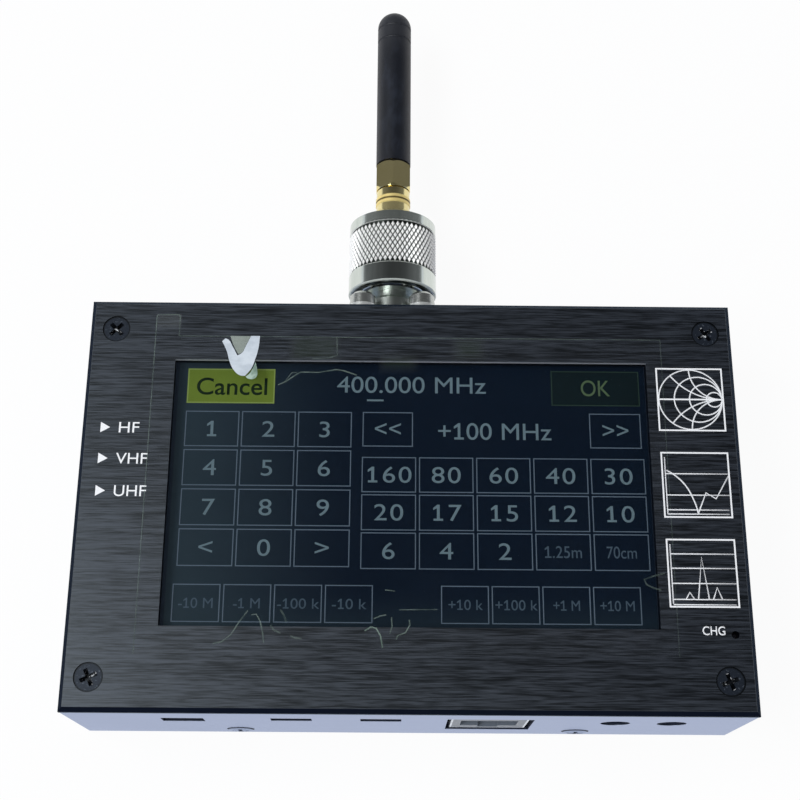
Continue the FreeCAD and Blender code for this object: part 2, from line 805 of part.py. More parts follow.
def audio_jack(x):
    """A body on the board, a round nose through the wall and the plug's bore."""
    middle = board_under - jack_height / 2
    back = board_south + jack_length
    body = box(around(x, jack_width), (board_south, back), down_from(board_under, jack_height))
    nose_tip = -(half_height - slack)
    nose = cylinder(jack_nose_radius, board_south - nose_tip, (x, nose_tip, middle), axis_y)
    bore = cylinder(
        jack_bore_radius, back - nose_tip - jack_bore_radius, (x, nose_tip, middle), axis_y)
    return cut(fuse(body, nose), bore)


def ethernet_jack():
    front = -(half_height - slack)
    along = up_from(front, lan_length)
    tall = down_from(board_under, lan_height)
    middle = board_under - lan_height / 2
    skin_x = around(lan_x, lan_width - lan_shell * 2)
    skin_z = around(middle, lan_height - lan_shell * 2)
    inside_y = (front, front + lan_length - lan_shell)
    can = box(around(lan_x, lan_width), along, tall)
    node("ethernet_shell", cut(can, box(skin_x, inside_y, skin_z)))
    block = box(skin_x, inside_y, skin_z)
    mouth_y = up_from(front, lan_mouth_depth)
    mouth_z = around(middle, lan_mouth_height)
    mouth = box(around(lan_x, lan_mouth_width), mouth_y, mouth_z)
    latch = box(
        around(lan_x, lan_latch_width), mouth_y, down_from(mouth_z[0], lan_latch_height))
    node("ethernet_insert", cut(block, mouth, latch))
    pins = []
    for step in range(lan_pins):
        x = around(lan_x + lan_pin_pitch * (step - (lan_pins - 1) / 2), lan_pin_width)
        pins.append(box(
            x, (front + lan_margin * 2, front + lan_mouth_depth),
            down_from(mouth_z[1], lan_pin_width),
        ))
    node("ethernet_contacts", group_of(*pins))


def board_sockets():
    node("mini_usb_socket", usb_socket(mini_x, mini_width, mini_height, usb_wall * 4))
    micros = [
        usb_socket(x, micro_width, micro_height, usb_wall * 2)
        for x in (micro_left_x, micro_right_x)
    ]
    node("micro_usb_sockets", group_of(*micros))
    ethernet_jack()
    jacks = [audio_jack(x) for x in (jack_left_x, jack_right_x)]
    node("audio_jacks", group_of(*jacks))
    card_across = up_from(board_x[0] - card_proud, card_length)
    card_along = around(card_y, card_width)
    card_z = around(board_under - slot_thick / 2, card_thick)
    holder = box(
        up_from(board_x[0], card_length), inset(card_along, -slot_side),
        down_from(board_under, slot_thick),
    )
    node("card_slot", cut(holder, box(card_across, card_along, card_z)))
    node("memory_card", box(card_across, card_along, card_z))


# ---------------------------------------------------------------- radio board and power

def bent_lead(points, radius, bend):
    """A round lead through three points, with one tangent arc at the middle one."""
    first, corner, last = [
        FreeCAD.Vector(*[as_size(length).value for length in point]) for point in points]
    back = (first - corner).normalize()
    ahead = (last - corner).normalize()
    start = corner + back * bend.value
    end = corner + ahead * bend.value
    centre = start + ahead * bend.value
    middle = centre + (corner - centre).normalize() * bend.value
    route = Part.Wire([
        Part.LineSegment(first, start).toShape(), Part.Arc(start, middle, end).toShape(),
        Part.LineSegment(end, last).toShape(),
    ])
    ring = Part.Wire([Part.Circle(first, -back, radius.value).toShape()])
    lead = doc.addObject("Part::Feature", "lead")
    lead.Shape = route.makePipeShell([ring], True, False)
    return lead


def radio_board():
    wide = around(zero, radio_width)
    node("radio_board", box(wide, (radio_south, radio_north), (radio_under, radio_top)))
    strips = [
        box(around(x, header_width), around(header_middle, header_length),
            up_from(radio_top, pin_strip_height))
        for x in (-header_x, header_x)
    ]
    node("radio_pin_strips", group_of(*strips))
    shield_x = around(zero, shield_width)
    shield_y = around(header_middle, shield_length)
    can = box(shield_x, shield_y, down_from(radio_under, shield_height))
    hollow = box(
        around(zero, shield_width - shield_wall * 2),
        around(header_middle, shield_length - shield_wall * 2),
        (radio_under - shield_height + shield_wall, radio_under),
    )
    node("radio_shield", cut(can, hollow))
    landing = radio_north - stem_radius * 4
    start = (coax_x, north - stem_tail, coax_z)
    corner = (coax_x, landing, coax_z)
    node("radio_lead", bent_lead(
        (start, corner, (coax_x, landing, radio_top)), stem_radius, stem_radius * 3))


def power_supply():
    cell_low = cover_thick + battery_pad_thick
    cell = slab(battery_x, battery_y, up_from(cell_low, battery_thick))
    node("battery_pack", round_corners(cell, battery_round))
    node("battery_pad", box(
        inset(battery_x, battery_pad_inset), inset(battery_y, battery_pad_inset),
        (cover_thick, cell_low),
    ))
    charger_x = (inner_x - charger_thick, inner_x)
    node("charger_board", box(
        charger_x, up_from(charger_south, charger_length), (charger_low, charger_high)))
    plug_x = down_from(charger_x[0], plug_thick)
    plug_z = around(lead_low + lead_pitch / 2, plug_side)
    node("battery_plug", box(plug_x, around(lead_y, plug_side), plug_z))
    leads = [
        cylinder(lead_radius, plug_x[0] - battery_x[1], (battery_x[1], lead_y, z), axis_x)
        for z in up_from(lead_low, lead_pitch)
    ]
    node("battery_leads", group_of(*leads))
    barrel = cylinder(led_radius, led_height - led_radius, (led_x, led_y, led_base))
    dome = doc.addObject("Part::Sphere", "dome")
    bind(dome, "Radius", led_radius)
    put(dome, led_x, led_y, led_base + led_height - led_radius)
    legs = [
        box(down_from(charger_x[0], led_leg), around(y, led_leg),
            (charger_high - led_leg_lap, led_base))
        for y in around(led_y, led_leg_spread - led_leg * 2)
    ]
    node("charge_led", fuse(barrel, dome, *legs))


def power_switch():
    middle = switch_y + knob_travel / 2
    back = inner_x - switch_deep
    body = box((back, inner_x), around(middle, switch_length), around(switch_z, switch_width))
    ears = box(
        (inner_x - ear_thick, inner_x), around(middle, ear_pitch + ear_margin * 2),
        around(switch_z, switch_width),
    )
    track = box(
        (inner_x - knob_deep - slack, inner_x),
        around(middle, knob_length + knob_travel + slack * 2),
        around(switch_z, knob_width + slack * 2),
    )
    tapped = [
        cylinder(small_screw_radius + screw_gap, ear_thick, (inner_x - ear_thick, y, switch_z),
                 axis_x)
        for y in around(middle, ear_pitch)
    ]
    node("switch_body", cut(fuse(body, ears), track, *tapped))
    node("switch_knob", box(
        (inner_x - knob_deep, half_width + knob_proud), around(switch_y, knob_length),
        around(switch_z, knob_width),
    ))
    south_end = middle - switch_length / 2
    lead_end = charger_south + charger_length - switch_lead_lap
    lead_x = inner_x - charger_thick - switch_lead_radius
    leads = [
        cylinder(switch_lead_radius, south_end - lead_end, (lead_x, lead_end, z), axis_y)
        for z in around(switch_z, switch_lead_pitch)
    ]
    node("switch_leads", group_of(*leads))
    screw = pan_screw(
        small_screw_radius, wall + ear_thick, small_head_radius, small_head_height)
    node("switch_screws", copies(
        screw, [(half_width, y, switch_z, axis_x) for y in around(middle, ear_pitch)]))


# ---------------------------------------------------------------- coaxial connectors

def flange_hole_places():
    return [
        (x, z) for x in around(coax_x, flange_pitch) for z in around(coax_z, flange_pitch)
    ]


def flange_places(y):
    return [(x, y, z, axis_y) for x, z in flange_hole_places()]


def on_coax_axis(name, piece):
    return node(name, put(piece, coax_x, north, coax_z))


def coax_socket():
    step = hub_radius - neck_radius
    profile = [
        (dielectric_radius, -socket_tail), (hub_radius, -socket_tail),
        (hub_radius, hub_end - step), (neck_radius, hub_end),
        (neck_radius, barrel_start - step), (barrel_radius - step, barrel_start - step),
        (barrel_radius, barrel_start), (barrel_radius, socket_face - step),
        (barrel_radius - step, socket_face), (socket_bore, socket_face),
        (socket_bore, socket_floor), (dielectric_radius, socket_floor),
    ]
    tube = put(turned(profile), coax_x, north, coax_z)
    square = box(
        around(coax_x, flange_side), up_from(north, flange_thick),
        around(coax_z, flange_side),
    )
    holes = [
        cylinder(screw_radius + screw_gap * 2, flange_thick, (x, north, z), axis_y)
        for x, z in flange_hole_places()
    ]
    centre = cylinder(hub_radius - step, flange_thick, (coax_x, north, coax_z), axis_y)
    node("socket_body", fuse(tube, cut(square, centre, *holes)))
    sleeve = [
        (stem_radius + screw_gap, -socket_tail), (dielectric_radius - screw_gap, -socket_tail),
        (dielectric_radius - screw_gap, socket_floor), (stem_radius + screw_gap, socket_floor),
    ]
    on_coax_axis("socket_insulator", turned(sleeve))
    contact = [
        (zero, -stem_tail), (stem_radius, -stem_tail), (stem_radius, socket_floor),
        (contact_radius, socket_floor), (contact_radius, contact_tip),
        (contact_bore, contact_tip), (contact_bore, pin_tip - slack), (zero, pin_tip - slack),
    ]
    on_coax_axis("socket_contact", turned(contact))
    level = north + flange_thick
    for name, radius, thick in (
        ("flange_washers", washer_radius, washer_thick),
        ("flange_spring_washers", spring_washer_radius, spring_washer_thick),
    ):
        washer = turned([
            (screw_radius + screw_gap, zero), (radius, zero), (radius, thick),
            (screw_radius + screw_gap, thick),
        ])
        node(name, copies(washer, flange_places(level)))
        level = level + thick
    screw = pan_screw(screw_radius, flange_screw_length, pan_head_radius, pan_head_height)
    node("flange_screws", copies(screw, flange_places(level)))
    nut = hexagon(flange_nut_flats, flange_nut_thick, (zero, zero, zero), axis_y)
    thread = cylinder(
        screw_radius + screw_gap, flange_nut_thick, (zero, zero, zero), axis_y)
    node("flange_nuts", copies(cut(nut, thread), flange_places(inner_y - flange_nut_thick)))


def adaptor():
    """The plug that screws onto the case's socket and carries the smaller socket."""
    seat = socket_face + seal_thick
    back = seat + collar_thick
    ring_end = ring_start + ring_thick
    groove_radius = shaft_radius - ring_depth
    nose_bore = sma_neck + screw_gap
    body = [
        (plug_bore, ferrule_tip), (ferrule_radius, ferrule_tip), (ferrule_radius, seat),
        (collar_radius, seat), (collar_radius, back), (shaft_radius, back),
        (shaft_radius, ring_start), (groove_radius, ring_start), (groove_radius, ring_end),
        (shaft_radius, ring_end), (shaft_radius, shaft_end), (nose_radius, nose_start),
        (nose_radius, nose_end), (nose_bore, nose_end), (nose_bore, sma_tail),
        (plug_bore, sma_tail),
    ]
    on_coax_axis("plug_body", turned(body))
    seal = [
        (seal_inner, socket_face), (seal_outer, socket_face), (seal_outer, seat),
        (seal_inner, seat),
    ]
    on_coax_axis("plug_seal", turned(seal))
    ring = [
        (groove_radius + screw_gap, ring_start + screw_gap),
        (shaft_radius + ring_proud, ring_start + screw_gap),
        (shaft_radius + ring_proud, ring_end - screw_gap),
        (groove_radius + screw_gap, ring_end - screw_gap),
    ]
    on_coax_axis("snap_ring", turned(ring))
    bore = plug_bore - screw_gap
    plastic = [
        (pin_radius + screw_gap, plastic_start), (bore, plastic_start), (bore, sma_tail),
        (sma_dielectric, sma_tail), (sma_dielectric, sma_thread_start),
        (pin_radius + screw_gap, sma_thread_start),
    ]
    on_coax_axis("adaptor_insulator", turned(plastic))
    socket_low = pin_socket_end - pin_socket_depth
    pin = [
        (zero, pin_tip), (pin_tip_radius, pin_tip), (pin_tip_radius, contact_tip + slack),
        (pin_radius, contact_tip + slack), (pin_radius, pin_socket_start),
        (pin_socket_radius, pin_socket_start), (pin_socket_radius, pin_socket_end),
        (pin_socket_bore, pin_socket_end), (pin_socket_bore, socket_low), (zero, socket_low),
    ]
    on_coax_axis("adaptor_pin", turned(pin))
    tube = sma_dielectric + screw_gap
    ring_middle = (sma_ring_start + sma_ring_end) / 2
    small = [
        (tube, sma_tail), (sma_neck, sma_tail), (sma_neck, sma_ring_start),
        (sma_ring_radius, sma_ring_start + sma_ring_slope),
        (sma_ring_radius, ring_middle - sma_ring_slope), (sma_neck, ring_middle),
        (sma_ring_radius, ring_middle + sma_ring_slope),
        (sma_ring_radius, sma_ring_end - sma_ring_slope),
        (sma_neck, sma_ring_end), (sma_neck, sma_thread_start),
        (sma_thread_radius, sma_thread_start), (sma_thread_radius, sma_face),
        (sma_bore, sma_face), (sma_bore, sma_thread_start), (tube, sma_thread_start),
    ]
    on_coax_axis("sma_barrel", turned(small))


def coupling_nut():
    stop = socket_face + seal_thick + collar_thick
    thread = barrel_radius + slack
    sliding = shaft_radius + shaft_gap
    ring_room = shaft_radius + ring_proud + slack
    knurl = nut_radius - nut_knurl_drop
    profile = [
        (thread, nut_start), (nut_radius - nut_bevel, nut_start),
        (nut_radius, nut_start + nut_bevel), (nut_radius, nut_knurl_start),
        (knurl, nut_knurl_start), (knurl, nut_shoulder), (nut_end_radius, nut_end),
        (sliding, nut_end),
        (sliding, ring_start + ring_thick + slack),
        (ring_room, ring_start + ring_thick + slack), (ring_room, ring_start - slack),
        (sliding, ring_start - slack), (sliding, stop), (thread, stop),
    ]
    on_coax_axis("coupling_nut", turned(profile))


# ---------------------------------------------------------------- antenna

def antenna():
    flange_end = sma_face + whip_flange
    base = [
        (whip_bore, whip_tip), (whip_sleeve, whip_tip), (whip_sleeve, sma_face),
        (sma_thread_radius, sma_face), (sma_thread_radius, flange_end),
        (whip_shaft, flange_end), (whip_shaft, sheath_start),
        (whip_base_radius, sheath_start), (whip_base_radius, whip_base_end),
        (whip_bore, whip_base_end),
    ]
    on_coax_axis("antenna_base", turned(base))
    bore = whip_bore - screw_gap
    pin = whip_pin_radius + screw_gap
    plastic = [(pin, sma_face), (bore, sma_face), (bore, whip_base_end), (pin, whip_base_end)]
    on_coax_axis("antenna_insulator", turned(plastic))
    pin_start = pin_socket_end - pin_socket_depth + slack
    place = (coax_x, north + pin_start, coax_z)
    node("antenna_pin", cylinder(whip_pin_radius, whip_base_end - pin_start, place, axis_y))
    coil = [
        (coil_inner, whip_base_end), (coil_outer, whip_base_end), (coil_outer, coil_end),
        (coil_inner, coil_end),
    ]
    on_coax_axis("antenna_coil", turned(coil))
    core_place = (coax_x, north + whip_base_end, coax_z)
    node("antenna_core", cylinder(
        coil_inner - screw_gap, coil_end - whip_base_end, core_place, axis_y))
    start = (coax_x, north + sheath_start, coax_z)
    straight = sheath_end - sheath_radius - sheath_start
    skin = cylinder(sheath_radius, straight, start, axis_y)
    dome = doc.addObject("Part::Sphere", "dome")
    bind(dome, "Radius", sheath_radius)
    put(dome, coax_x, north + sheath_end - sheath_radius, coax_z)
    foot = cylinder(
        whip_base_radius + screw_gap, whip_base_end - sheath_start, start, axis_y)
    room = cylinder(
        coil_outer + screw_gap, coil_end - whip_base_end, core_place, axis_y)
    rings = []
    for far in (sheath_groove_near, sheath_groove_far):
        ring = doc.addObject("Part::Torus", "ring")
        bind(ring, "Radius1", sheath_radius + sheath_groove_wire / 3)
        bind(ring, "Radius2", sheath_groove_wire)
        rings.append(put(ring, coax_x, north + far, coax_z, axis_y))
    node("antenna_sheath", cut(fuse(skin, dome), foot, room, *rings))


def antenna_nut():
    length = hex_end - hex_start
    place = (coax_x, north + hex_start, coax_z)
    block = hexagon(hex_flats, length, place, axis_y)
    aim = block.Placement.Rotation.multiply(FreeCAD.Rotation(axis_z, hex_turn))
    block.Placement = FreeCAD.Placement(block.Placement.Base, aim)
    corner = hex_flats / 3 ** 0.5
    lathe = turned([
        (zero, hex_start), (hex_flats / 2, hex_start),
        (corner, hex_start + (corner - hex_flats / 2)),
        (corner, hex_end - (corner - hex_flats / 2)),
        (hex_flats / 2, hex_end), (zero, hex_end),
    ])
    bevelled = doc.addObject("Part::MultiCommon", "bevelled")
    bevelled.Shapes = [block, put(lathe, coax_x, north, coax_z)]
    stop = sma_face + whip_flange
    thread = cylinder(
        sma_thread_radius + slack, stop - hex_start, place, axis_y)
    sliding = cylinder(
        whip_shaft + shaft_gap, hex_end - stop, (coax_x, north + stop, coax_z), axis_y)
    node("antenna_nut", cut(bevelled, thread, sliding))


front_panel()
case_frame()
rear_cover()
case_screws()
display()
main_board()
board_sockets()
radio_board()
power_supply()
power_switch()
coax_socket()
adaptor()
coupling_nut()
antenna()
antenna_nut()


# ---------------------------------------------------------------- check and write

doc.recompute()
broken = [o.Label for o in doc.Objects if "Invalid" in o.State or "Error" in o.State]
if broken:
    raise RuntimeError(f"these objects failed: {broken}")
for piece in nodes:
    if piece.Shape.isNull() or not piece.Shape.isValid():
        raise RuntimeError(f"{piece.Label} has no valid shape")
os.makedirs("parts", exist_ok=True)
for piece in nodes:
    piece.Shape.exportStep(f"parts/{piece.Label}.step")
    print(f"{piece.Label}: {len(piece.Shape.Solids)} solids, {piece.Shape.Volume:.2f} mm3")
print(f"{len(nodes)} nodes written")
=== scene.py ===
import json
import math

import bpy
from mathutils import Matrix, Vector


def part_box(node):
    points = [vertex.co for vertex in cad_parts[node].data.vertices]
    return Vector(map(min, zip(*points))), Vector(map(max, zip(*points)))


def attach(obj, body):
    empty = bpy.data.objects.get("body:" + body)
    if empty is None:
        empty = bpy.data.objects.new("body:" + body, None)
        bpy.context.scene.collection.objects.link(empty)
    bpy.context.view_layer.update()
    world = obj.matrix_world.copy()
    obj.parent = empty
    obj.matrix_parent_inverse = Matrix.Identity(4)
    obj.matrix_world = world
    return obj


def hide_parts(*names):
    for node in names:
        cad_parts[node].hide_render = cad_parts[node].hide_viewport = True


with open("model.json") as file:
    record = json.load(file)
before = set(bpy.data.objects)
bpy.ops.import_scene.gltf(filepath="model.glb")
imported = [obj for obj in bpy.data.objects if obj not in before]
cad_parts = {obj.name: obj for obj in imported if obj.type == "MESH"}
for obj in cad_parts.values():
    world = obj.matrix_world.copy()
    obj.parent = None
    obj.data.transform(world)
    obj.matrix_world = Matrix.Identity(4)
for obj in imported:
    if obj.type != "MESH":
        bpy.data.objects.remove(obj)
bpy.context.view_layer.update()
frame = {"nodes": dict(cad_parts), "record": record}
mm = 0.001
print("frame loaded with", len(frame["nodes"]), "nodes")


# finishes: a socket is wrapped, so that a pattern reads as a sum

class Value:
    def __init__(self, finish, socket):
        self.finish = finish
        self.socket = socket

    def maths(self, operation, *values):  # on the socket alone, where no values are given
        sockets = dict(enumerate(values or [self]))
        return self.finish.node("ShaderNodeMath", {"operation": operation}, sockets)

    def __add__(self, other):
        return self.maths("ADD", self, other)

    def __radd__(self, other):
        return self.maths("ADD", other, self)

    def __sub__(self, other):
        return self.maths("SUBTRACT", self, other)

    def __rsub__(self, other):
        return self.maths("SUBTRACT", other, self)

    def __mul__(self, other):
        return self.maths("MULTIPLY", self, other)

    def __rmul__(self, other):
        return self.maths("MULTIPLY", other, self)


class Finish:  # a material, or the world, and its nodes
    def __init__(self, name, fixed=None, world=None):
        self.material = world or bpy.data.materials.new(name)
        self.material.use_nodes = True
        self.tree = self.material.node_tree
        self.shader = self.tree.nodes["Background" if world else "Principled BSDF"]
        for key, value in (fixed or {}).items():
            self.shader.inputs[key].default_value = value

    def node(self, kind, settings=None, sockets=None, output=0):
        made = self.tree.nodes.new(kind)
        for key, value in (settings or {}).items():
            if key == "stops":
                self.fillRamp(made.color_ramp, value)
            else:
                setattr(made, key, value)
        for key, value in (sockets or {}).items():
            if isinstance(value, Value):
                self.tree.links.new(value.socket, made.inputs[key])
            else:
                made.inputs[key].default_value = value
        return Value(self, made.outputs[output])

    def fillRamp(self, ramp, stops):
        while len(ramp.elements) < len(stops):
            ramp.elements.new(1)
        for element, (position, tone) in zip(ramp.elements, stops):
            element.position = position
            element.color = tone

    def place(self, x, y, z):  # object coordinates in metres, stretched
        where = self.node("ShaderNodeTexCoord", output="Object")
        return self.node("ShaderNodeMapping", {}, {"Vector": where, "Scale": (x, y, z)})

    def axis(self, name):
        where = self.node("ShaderNodeTexCoord", output="Object")
        return self.node("ShaderNodeSeparateXYZ", {}, {"Vector": where}, name)

    def attribute(self, name):
        return self.node("ShaderNodeAttribute", {"attribute_name": name}, {}, "Fac")

    def noise(self, x, y, z, detail=3.0):  # x, y, z: features a metre along each axis
        return self.node("ShaderNodeTexNoise", {}, {
            "Vector": self.place(x, y, z), "Scale": 1.0, "Detail": detail, "Roughness": 0.55})

    def step(self, value, low, high):  # 0 below low, 1 above high, smooth between
        return self.node("ShaderNodeMapRange", {"interpolation_type": "SMOOTHSTEP"}, {
            "Value": value, "From Min": low, "From Max": high})

    def band(self, value, low, high, soft):  # 1 between low and high, with edges as wide as soft
        return self.step(value, low, low + soft) * (1 - self.step(value, high - soft, high))

    def mix(self, factor, first, second):
        return self.node("ShaderNodeMix", {"data_type": "RGBA"}, {0: factor, 6: first, 7: second}, 2)

    def feed(self, socket, value):
        self.tree.links.new(value.socket, self.shader.inputs[socket])

    def bump(self, height, depth):
        raised = self.node("ShaderNodeBump", {}, {"Height": height, "Distance": depth, "Strength": 1.0})
        self.feed("Normal", raised)

    def blend(self, share, other):  # share: 0 is the other shader, 1 is the Principled one
        surface = Value(self, self.shader.outputs[0])
        shown = self.node("ShaderNodeMixShader", {}, {0: share, 1: other, 2: surface})
        self.tree.links.new(shown.socket, self.tree.nodes["Material Output"].inputs["Surface"])

    def seeThrough(self, solid, tint=(1, 1, 1, 1)):
        self.blend(solid, self.node("ShaderNodeBsdfTransparent", {}, {"Color": tint}))

    def look(self, colour, roughness, height=None, depth=0.0, metallic=None):  # depth in metres
        self.feed("Base Color", colour)
        self.feed("Roughness", roughness)
        if height is not None:
            self.bump(height, depth)
        if metallic is not None:
            self.feed("Metallic", metallic)
        return self.material


def shade(red, green, blue):  # screen values 0 to 255 as a linear colour
    def linear(part):
        part = part / 255
        return part / 12.92 if part <= 0.04045 else ((part + 0.055) / 1.055) ** 2.4
    return (linear(red), linear(green), linear(blue), 1)


# the front screws, in mm: the head's radius, its gap and the rim painted dark as shadow, and where the
# recess, painted dark as shade, ends
screw = {"head": 2.95, "gap": 0.4, "rim": 0.4, "soft": 0.25, "recess": (31.55, 31.7)}


def fromScrew(finish):  # distance from the nearest front screw's axis, in metres
    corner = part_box("front_screws")[1]
    across, along = finish.axis("X"), finish.axis("Y")
    across = across.maths("ABSOLUTE") - (corner.x - screw["head"] * mm)
    along = along.maths("ABSOLUTE") - (corner.y - screw["head"] * mm)
    square = across * across + along * along
    return square.maths("SQRT")


brushing = {  # sizes in mm
    # the last colour here is painted into the countersinks round the front screws, as shade
    "dark": (5, 7, 12), "light": (46, 51, 62), "edge": (22, 29, 46), "sinkShade": (4, 5, 8),
    "top": 32.0, "round": 0.09,
    # a bright line painted on one wall of the window, as a highlight
    "paintedLipHighlight": {"colour": (165, 170, 180), "low": 31.1, "along": (30.5, 30.9), "reach": 51.5},
}


def brushedPanel():
    finish = Finish("brushedPanel", {"IOR": 2.0, "Specular Tint": (0.82, 0.92, 1.0, 1)})
    fine = finish.noise(170, 4200, 4200, 4)
    wide = finish.noise(30, 1300, 1300, 3)
    cloud = finish.noise(22, 30, 30, 2)
    grain = finish.step(fine * 0.75 + wide * 0.25, 0.36, 0.66)
    face = finish.mix(grain, shade(*brushing["dark"]), shade(*brushing["light"]))
    across, along, level = (finish.axis(name) for name in "XYZ")
    reach = across.maths("ABSOLUTE")
    start = brushing["top"] - brushing["round"]
    side = 1 - finish.step(level, start * mm, (start + 0.05) * mm)
    bright = brushing["paintedLipHighlight"]  # one wall of the window is painted bright as a highlight
    first, last = bright["along"]
    paintedLipHighlight = (finish.step(level, bright["low"] * mm, (bright["low"] + 0.1) * mm)
           * finish.band(along, first * mm, last * mm, 0.1 * mm)
           * (1 - finish.step(reach, (bright["reach"] - 0.2) * mm, bright["reach"] * mm)))
    # the countersinks round the front screws are painted near-black as shade
    hole = screw["head"] + screw["gap"]
    paintedSink = 1 - finish.step(fromScrew(finish), hole * mm, (hole + 0.1) * mm)
    cut = finish.mix(paintedSink, shade(*brushing["edge"]), shade(*brushing["sinkShade"]))
    cut = finish.mix(paintedLipHighlight, cut, shade(*bright["colour"]))
    return finish.look(finish.mix(side, face, cut), 0.27 + 0.16 * grain + 0.06 * cloud + 0.2 * side,
                       fine * 0.7 + wide * 0.3, 0.00003, metallic=0.3 + 0.7 * side - paintedLipHighlight)


shadeStartDepth = 0.05  # how deep the frame's outer finish reaches, in mm; the faces below it are painted dark as shade


def satinFrame():
    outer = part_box("case_frame")[1]
    finish = Finish("satinFrame", {"IOR": 1.5, "Specular Tint": (0.84, 0.89, 1.0, 1)})
    blast = finish.noise(5200, 5200, 5200, 4)
    drawn = finish.noise(40, 2600, 2600, 3)
    cloud = finish.noise(18, 18, 30, 2)
    look = blast * 0.35 + drawn * 0.4 + cloud * 0.25
    skin = shadeStartDepth * mm
    inside = 1
    for name, edge in (("X", outer.x - skin), ("Y", outer.y - skin)):  # all that lies under the skin: faces of holes and cuts, painted dark as shade
        where = finish.axis(name)
        inside = inside * (1 - finish.step(where.maths("ABSOLUTE"), edge - skin, edge))
    face = finish.mix(look, shade(146, 157, 184), shade(178, 188, 213))
    # under the skin the colour is painted dark as shade
    return finish.look(finish.mix(inside, face, shade(30, 37, 54)),
                       0.3 + 0.16 * blast + 0.3 * inside, blast * 0.5 + drawn * 0.5, 0.00002,
                       metallic=0.9 - 0.5 * inside)


def plated(name, dark, light, roughness, metallic=1.0):  # a turned and plated metal
    finish = Finish(name, {"Metallic": metallic})
    turned = finish.noise(900, 6500, 900, 3)
    cloud = finish.noise(160, 160, 160, 3)
    return finish.look(finish.mix(turned * 0.4 + cloud * 0.6, shade(*dark), shade(*light)),
                       roughness + 0.1 * turned + 0.08 * cloud, turned, 0.000006)


# in mm: nut, ridge and rim are depths below the largest radius, end and knurl are places along; the
# knurl's ridges are painted white as highlights and its valleys dark as shade
nickel = {"nut": 3.4, "ridgeHighlight": 0.5, "rim": 0.7, "end": 0.28, "knurl": (4.6, 15.5)}


def nutAxis():  # the middle of the coupling nut's near end and its radius, in metres
    low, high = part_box("coupling_nut")
    return Vector(((low.x + high.x) / 2, low.y, (low.z + high.z) / 2)), (high.x - low.x) / 2


def nickelPlate():
    centre, radius = nutAxis()
    finish = Finish("nickelPlate")
    streak = finish.noise(900, 60, 900, 3)
    cloud = finish.noise(160, 160, 160, 3)
    across, along, level = (finish.axis(name) for name in "XYZ")
    across, level = across - centre.x, level - centre.z
    square = across * across + level * level
    reach = square.maths("SQRT")

    def above(depth, soft=0.1):  # 1 in the outer part of the radius
        return finish.step(reach, radius - depth * mm, radius - (depth - soft) * mm)

    def past(distance, soft):  # 1 beyond a place along the nut
        return finish.step(along, centre.y + distance * mm, centre.y + (distance + soft) * mm)

    start, stop = nickel["knurl"]
    onNut = above(nickel["nut"])
    knurl = onNut * finish.band(along, centre.y + start * mm, centre.y + stop * mm, 0.2 * mm)
    ridgeHighlight = above(nickel["ridgeHighlight"])
    end = onNut * (1 - past(nickel["end"], 0.04))
    rim = end * above(nickel["rim"], 0.2)
    back = onNut * past(stop, 0.1)
    plain = finish.mix(streak * 0.6 + cloud * 0.4, shade(176, 186, 178), shade(232, 236, 231))
    # the near end face, but for its rim, is painted dark as shade
    plain = finish.mix(end - rim, plain, shade(92, 96, 94))
    # the knurl: ridges painted white as highlights, valleys painted dark as shade
    knurlLitAndShaded = finish.mix(ridgeHighlight, shade(70, 76, 72), shade(255, 255, 254))
    return finish.look(finish.mix(knurl, plain, knurlLitAndShaded),
                       0.28 - 0.2 * onNut + 0.08 * cloud + 0.2 * knurl, cloud, 0.000004,
                       metallic=1 - 0.9 * knurl * ridgeHighlight - 0.8 * rim - 0.1 * back)


barrel = {"band": (76.1, 78.4), "line": (76.9, 77.6), "soft": 0.2}  # places along, in mm; the line is painted dark as shade


def goldPlate():  # the rolled band of the barrel is rougher, with a dark line of painted shade round its middle
    finish = Finish("goldPlate")
    turned = finish.noise(900, 6500, 900, 3)
    cloud = finish.noise(160, 160, 160, 3)
    along = finish.axis("Y")
    start, soft = barrel["band"][0], barrel["soft"]
    neck = 1 - finish.step(along, start * mm, (start + soft) * mm)
    band, line = (finish.band(along, barrel[name][0] * mm, barrel[name][1] * mm, soft * mm)
                  for name in ("band", "line"))
    plain = finish.mix(turned * 0.4 + cloud * 0.6, shade(222, 206, 142), shade(246, 232, 176))
    bright = finish.mix(line, shade(250, 226, 148), shade(120, 104, 60))
    return finish.look(finish.mix(band, plain, bright), 0.1 + 0.1 * turned + 0.3 * band, turned,
                       0.000006, metallic=0.96 - 0.15 * neck - 0.55 * band)


def blackOxide():  # the front screws: an edge painted dark as shadow, and a recess painted black as shade but for a few painted glints
    finish = Finish("blackOxide", {"Metallic": 0.25, "IOR": 1.5, "Specular Tint": (0.8, 0.9, 1.0, 1)})
    speck = finish.noise(2600, 2600, 2600, 4)
    worn = finish.step(speck, 0.6, 0.72)
    level = finish.axis("Z")
    start, flat = screw["recess"]
    top = finish.step(level, start * mm, flat * mm)
    paintedGlint = finish.step(finish.noise(1100, 1100, 1100, 2), 0.58, 0.64)
    rim = screw["head"] - screw["rim"]
    edge = finish.step(fromScrew(finish), rim * mm, (rim + screw["soft"]) * mm)
    head = finish.mix(worn, shade(28, 34, 45), shade(84, 92, 103))
    # the head's rim is painted near-black as shadow
    head = finish.mix(edge, head, shade(6, 8, 12))
    # the recess is painted black as shade, with painted glints
    deep = finish.mix(paintedGlint, shade(8, 10, 15), shade(235, 238, 242))
    return finish.look(finish.mix(top, deep, head), 0.32 + 0.25 * speck, speck, 0.00003)


crown = {"depth": 0.36, "soft": 0.1}  # of the cover screws' heads, in mm; below the crown's depth the head is painted dark as shade


